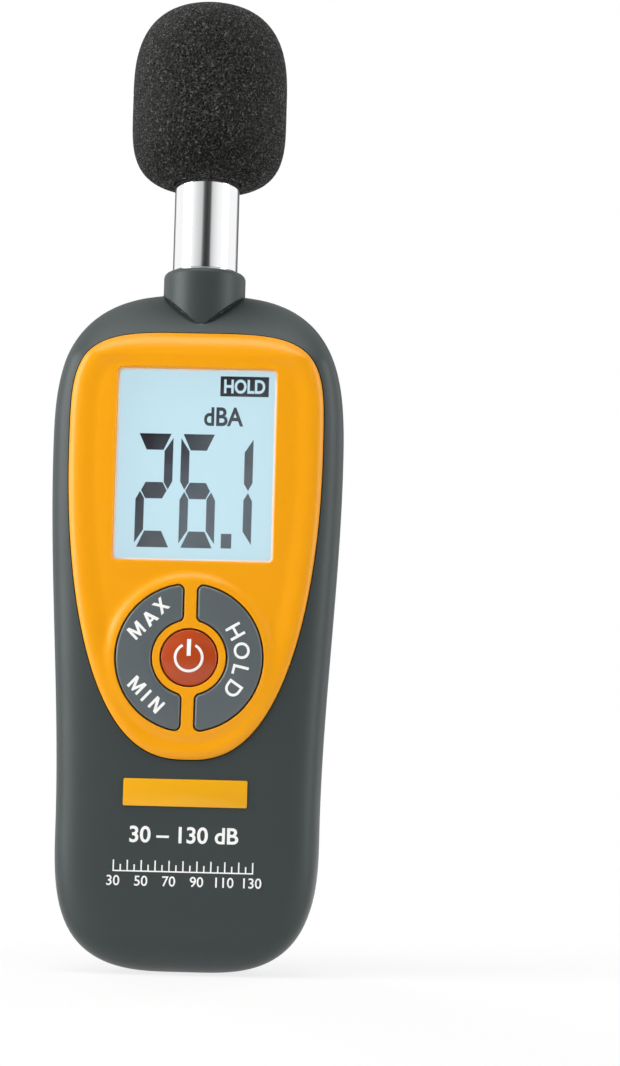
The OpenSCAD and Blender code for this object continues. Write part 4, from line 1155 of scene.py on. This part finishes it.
# ---------------------------------------------------------------- Tripod insert
# A turned brass bush with a quarter-inch, 20-per-inch thread, set into a boss of the rear shell so
# that the meter fits on a camera tripod.
minor_r, major_r, pitch, insert_bottom = 2.55, 3.1, 1.27, 1
edge_r, edge_break, run_in = insert_d / 2, 0.2, 0.3
columns, mouth = 72, insert_l - fit
depths = np.linspace(insert_bottom, mouth, 120)
fade = (np.clip((depths - insert_bottom - run_in) / 0.5, 0, 1)
        * np.clip((mouth - run_in - depths) / 0.4, 0, 1))
rings = []
for a in np.arange(columns) * 2 * np.pi / columns:
    wave = np.abs(((depths / pitch - a / (2 * np.pi)) % 1) * 2 - 1)
    inner = minor_r + (major_r - minor_r) * fade * np.clip(1.15 * wave, 0, 1)
    outside = [0.02, 0.02, edge_r, edge_r, edge_r - edge_break, major_r + 0.1]
    r = np.concatenate([outside, inner[::-1]])
    out = np.concatenate([[insert_bottom, 0, 0, mouth - edge_break, mouth, mouth], depths[::-1]])
    rings.append(np.stack([
        r * math.cos(a), rear_y - insert_l + out, insert_z + r * math.sin(a)], -1))
insert = loft(rings, "tripod_bush", True)
# Free-cutting brass with turning marks round its axis
mark_step = 0.2
brass, tree, surface, place = material("brass_turned")
centred = add(tree, "ShaderNodeMapping", {"Vector": place, "Location": (0, 0, -insert_z * mm)})
marks = add(tree, "ShaderNodeTexWave", {
    "Vector": centred.outputs[0], "Scale": 0.05 / (mark_step * mm), "Distortion": 0.5},
    wave_type="RINGS", rings_direction="Y")
tone = add(tree, "ShaderNodeMix", {
    0: marks.outputs[1], 6: hex_colour("#C9A04C"), 7: hex_colour("#B9913F")}, data_type="RGBA")
bump = add(tree, "ShaderNodeBump", {"Height": marks.outputs[1], "Distance": 0.003 * mm})
feed(tree, surface, {
    "Base Color": tone.outputs[2], "Normal": bump.outputs[0], "Metallic": 1, "Roughness": 0.27})
fitted(insert, brass, "case", ["tripod_insert"])

# ---------------------------------------------------------------- Studio
# A pale floor, two large soft lights at the sides, a weaker one above and two behind. Dark cards
# that only reflections see draw the stripe and the thin edges on the chrome.


def plainly_seen(tree):
    """1 for rays that show the backdrop, also in metal or through glass; 0 for those that light."""
    rays = add(tree, "ShaderNodeLightPath").outputs
    direct = add(tree, "ShaderNodeMath", {
        0: rays["Is Camera Ray"], 1: rays["Is Glossy Ray"]}, operation="MAXIMUM")
    return add(tree, "ShaderNodeMath", {
        0: direct.outputs[0], 1: rays["Is Transmission Ray"]}, operation="MAXIMUM").outputs[0]


floor = block((-4000, -4000, -3), (4000, 4000, -0.02))
floor.name = "floor"
matt_paper, tree, surface, place = material("matt_paper_white")
paper = add(tree, "ShaderNodeTexNoise", {"Vector": place, "Scale": 1 / (4 * mm), "Detail": 3})
tone = add(tree, "ShaderNodeMix", {
    0: paper.outputs[0], 6: hex_colour("#F2F2F2"), 7: hex_colour("#EFEFEF")}, data_type="RGBA")
feed(tree, surface, {"Base Color": tone.outputs[2], "Roughness": 0.9})
white = add(tree, "ShaderNodeEmission", {"Color": (1, 1, 1, 1), "Strength": 1})
away = add(tree, "ShaderNodeVectorMath", {0: place}, operation="LENGTH")
whiter = add(tree, "ShaderNodeMapRange", {
    "Value": away.outputs["Value"], "From Min": 0.05, "From Max": 0.7,
    "To Min": 0.8, "To Max": 1.0})
share = add(tree, "ShaderNodeMath", {
    0: plainly_seen(tree), 1: whiter.outputs[0]}, operation="MULTIPLY")
blend = add(tree, "ShaderNodeMixShader", {
    0: share.outputs[0], 1: surface.outputs[0], 2: white.outputs[0]})
feed(tree, tree.nodes["Material Output"], {"Surface": blend.outputs[0]})
floor.data.materials.append(matt_paper)

world = bpy.data.worlds.new("studio")
world.use_nodes = True
tree = world.node_tree
tree.nodes.clear()
strength = add(tree, "ShaderNodeMapRange", {
    "Value": plainly_seen(tree), "To Min": 0.12, "To Max": 1.0})
sky = add(tree, "ShaderNodeBackground", {"Color": (1, 1, 1, 1), "Strength": strength.outputs[0]})
add(tree, "ShaderNodeOutputWorld", {"Surface": sky.outputs[0]})
bpy.context.scene.world = world


def lamp(name, place, aim, width, height, power):
    data = bpy.data.lights.new(name, "AREA")
    data.shape, data.size, data.size_y, data.energy = "RECTANGLE", width * mm, height * mm, power
    made = linked(name, data)
    made.matrix_world = Matrix.Translation(Vector(place) * mm) @ (
        Vector(place) - Vector(aim)).to_track_quat("Z", "Y").to_matrix().to_4x4()


lamp("softbox_left", (-850, -330, 280), (0, 0, 90), 560, 900, 9)
lamp("softbox_right", (860, -240, 240), (0, 0, 90), 380, 900, 4)
lamp("softbox_top", (-80, -360, 900), (0, 0, 100), 800, 500, 4.6)
lamp("softbox_back_left", (-450, 900, 300), (0, 0, 90), 400, 700, 5)
lamp("softbox_back_right", (450, 900, 300), (0, 0, 90), 400, 700, 5)

# Painted card; the attribute gives the light that it sends back, so that one card can fade across
# its width
card_paint, tree, surface, place = material("card_paint")
grade = add(tree, "ShaderNodeAttribute", attribute_name="grade")
paint = add(tree, "ShaderNodeEmission", {"Color": (1, 1, 1, 1), "Strength": grade.outputs["Fac"]})
feed(tree, tree.nodes["Material Output"], {"Surface": paint.outputs[0]})


def card(name, low, high, grades, away=900):
    """An upright card; grades holds bearings from the front, in degrees, and shades of white."""
    sides = [(-math.sin(math.radians(t)) * away, -math.cos(math.radians(t)) * away)
             for t, shade in grades]
    faces = [[2 * i, 2 * i + 1, 2 * i + 3, 2 * i + 2] for i in range(len(grades) - 1)]
    made = shaped(name, [(x, y, z) for x, y in sides for z in (low, high)], faces)
    shades = made.data.attributes.new("grade", "FLOAT", "POINT")
    for v in made.data.vertices:
        apart = [math.hypot(v.co.x / mm - x, v.co.y / mm - y) for x, y in sides]
        shades.data[v.index].value = grades[apart.index(min(apart))][1]
    made.data.materials.append(card_paint)
    made.visible_camera = made.visible_diffuse = False
    made.visible_shadow = made.visible_transmission = False


card("card_front", 300, 440, [
    (46, 1), (33, 0.8), (20, 0.66), (13, 0.58), (8.5, 0.24), (4.6, 0.1), (-3, 0.04), (-12, 0.07),
    (-15.5, 0.1), (-18, 0.25), (-21, 0.57), (-26, 0.7), (-36, 0.85), (-50, 1)])
for name, low, high in (("card_low", -400, 300), ("card_high", 440, 900)):
    card(name, low, high, [(46, 1), (32, 0.03), (-36, 0.03), (-50, 1)])
card("card_left", -400, 900, [(184, 1), (190, 0.12), (212, 0.14), (226, 1)])
card("card_right", -400, 900, [(134, 1), (148, 0.14), (170, 0.12), (176, 1)])

bpy.context.scene.view_settings.view_transform = "Standard"

for leftover in ("Cube", "Light", "Camera"):
    if leftover in bpy.data.objects:
        bpy.data.objects.remove(bpy.data.objects[leftover])
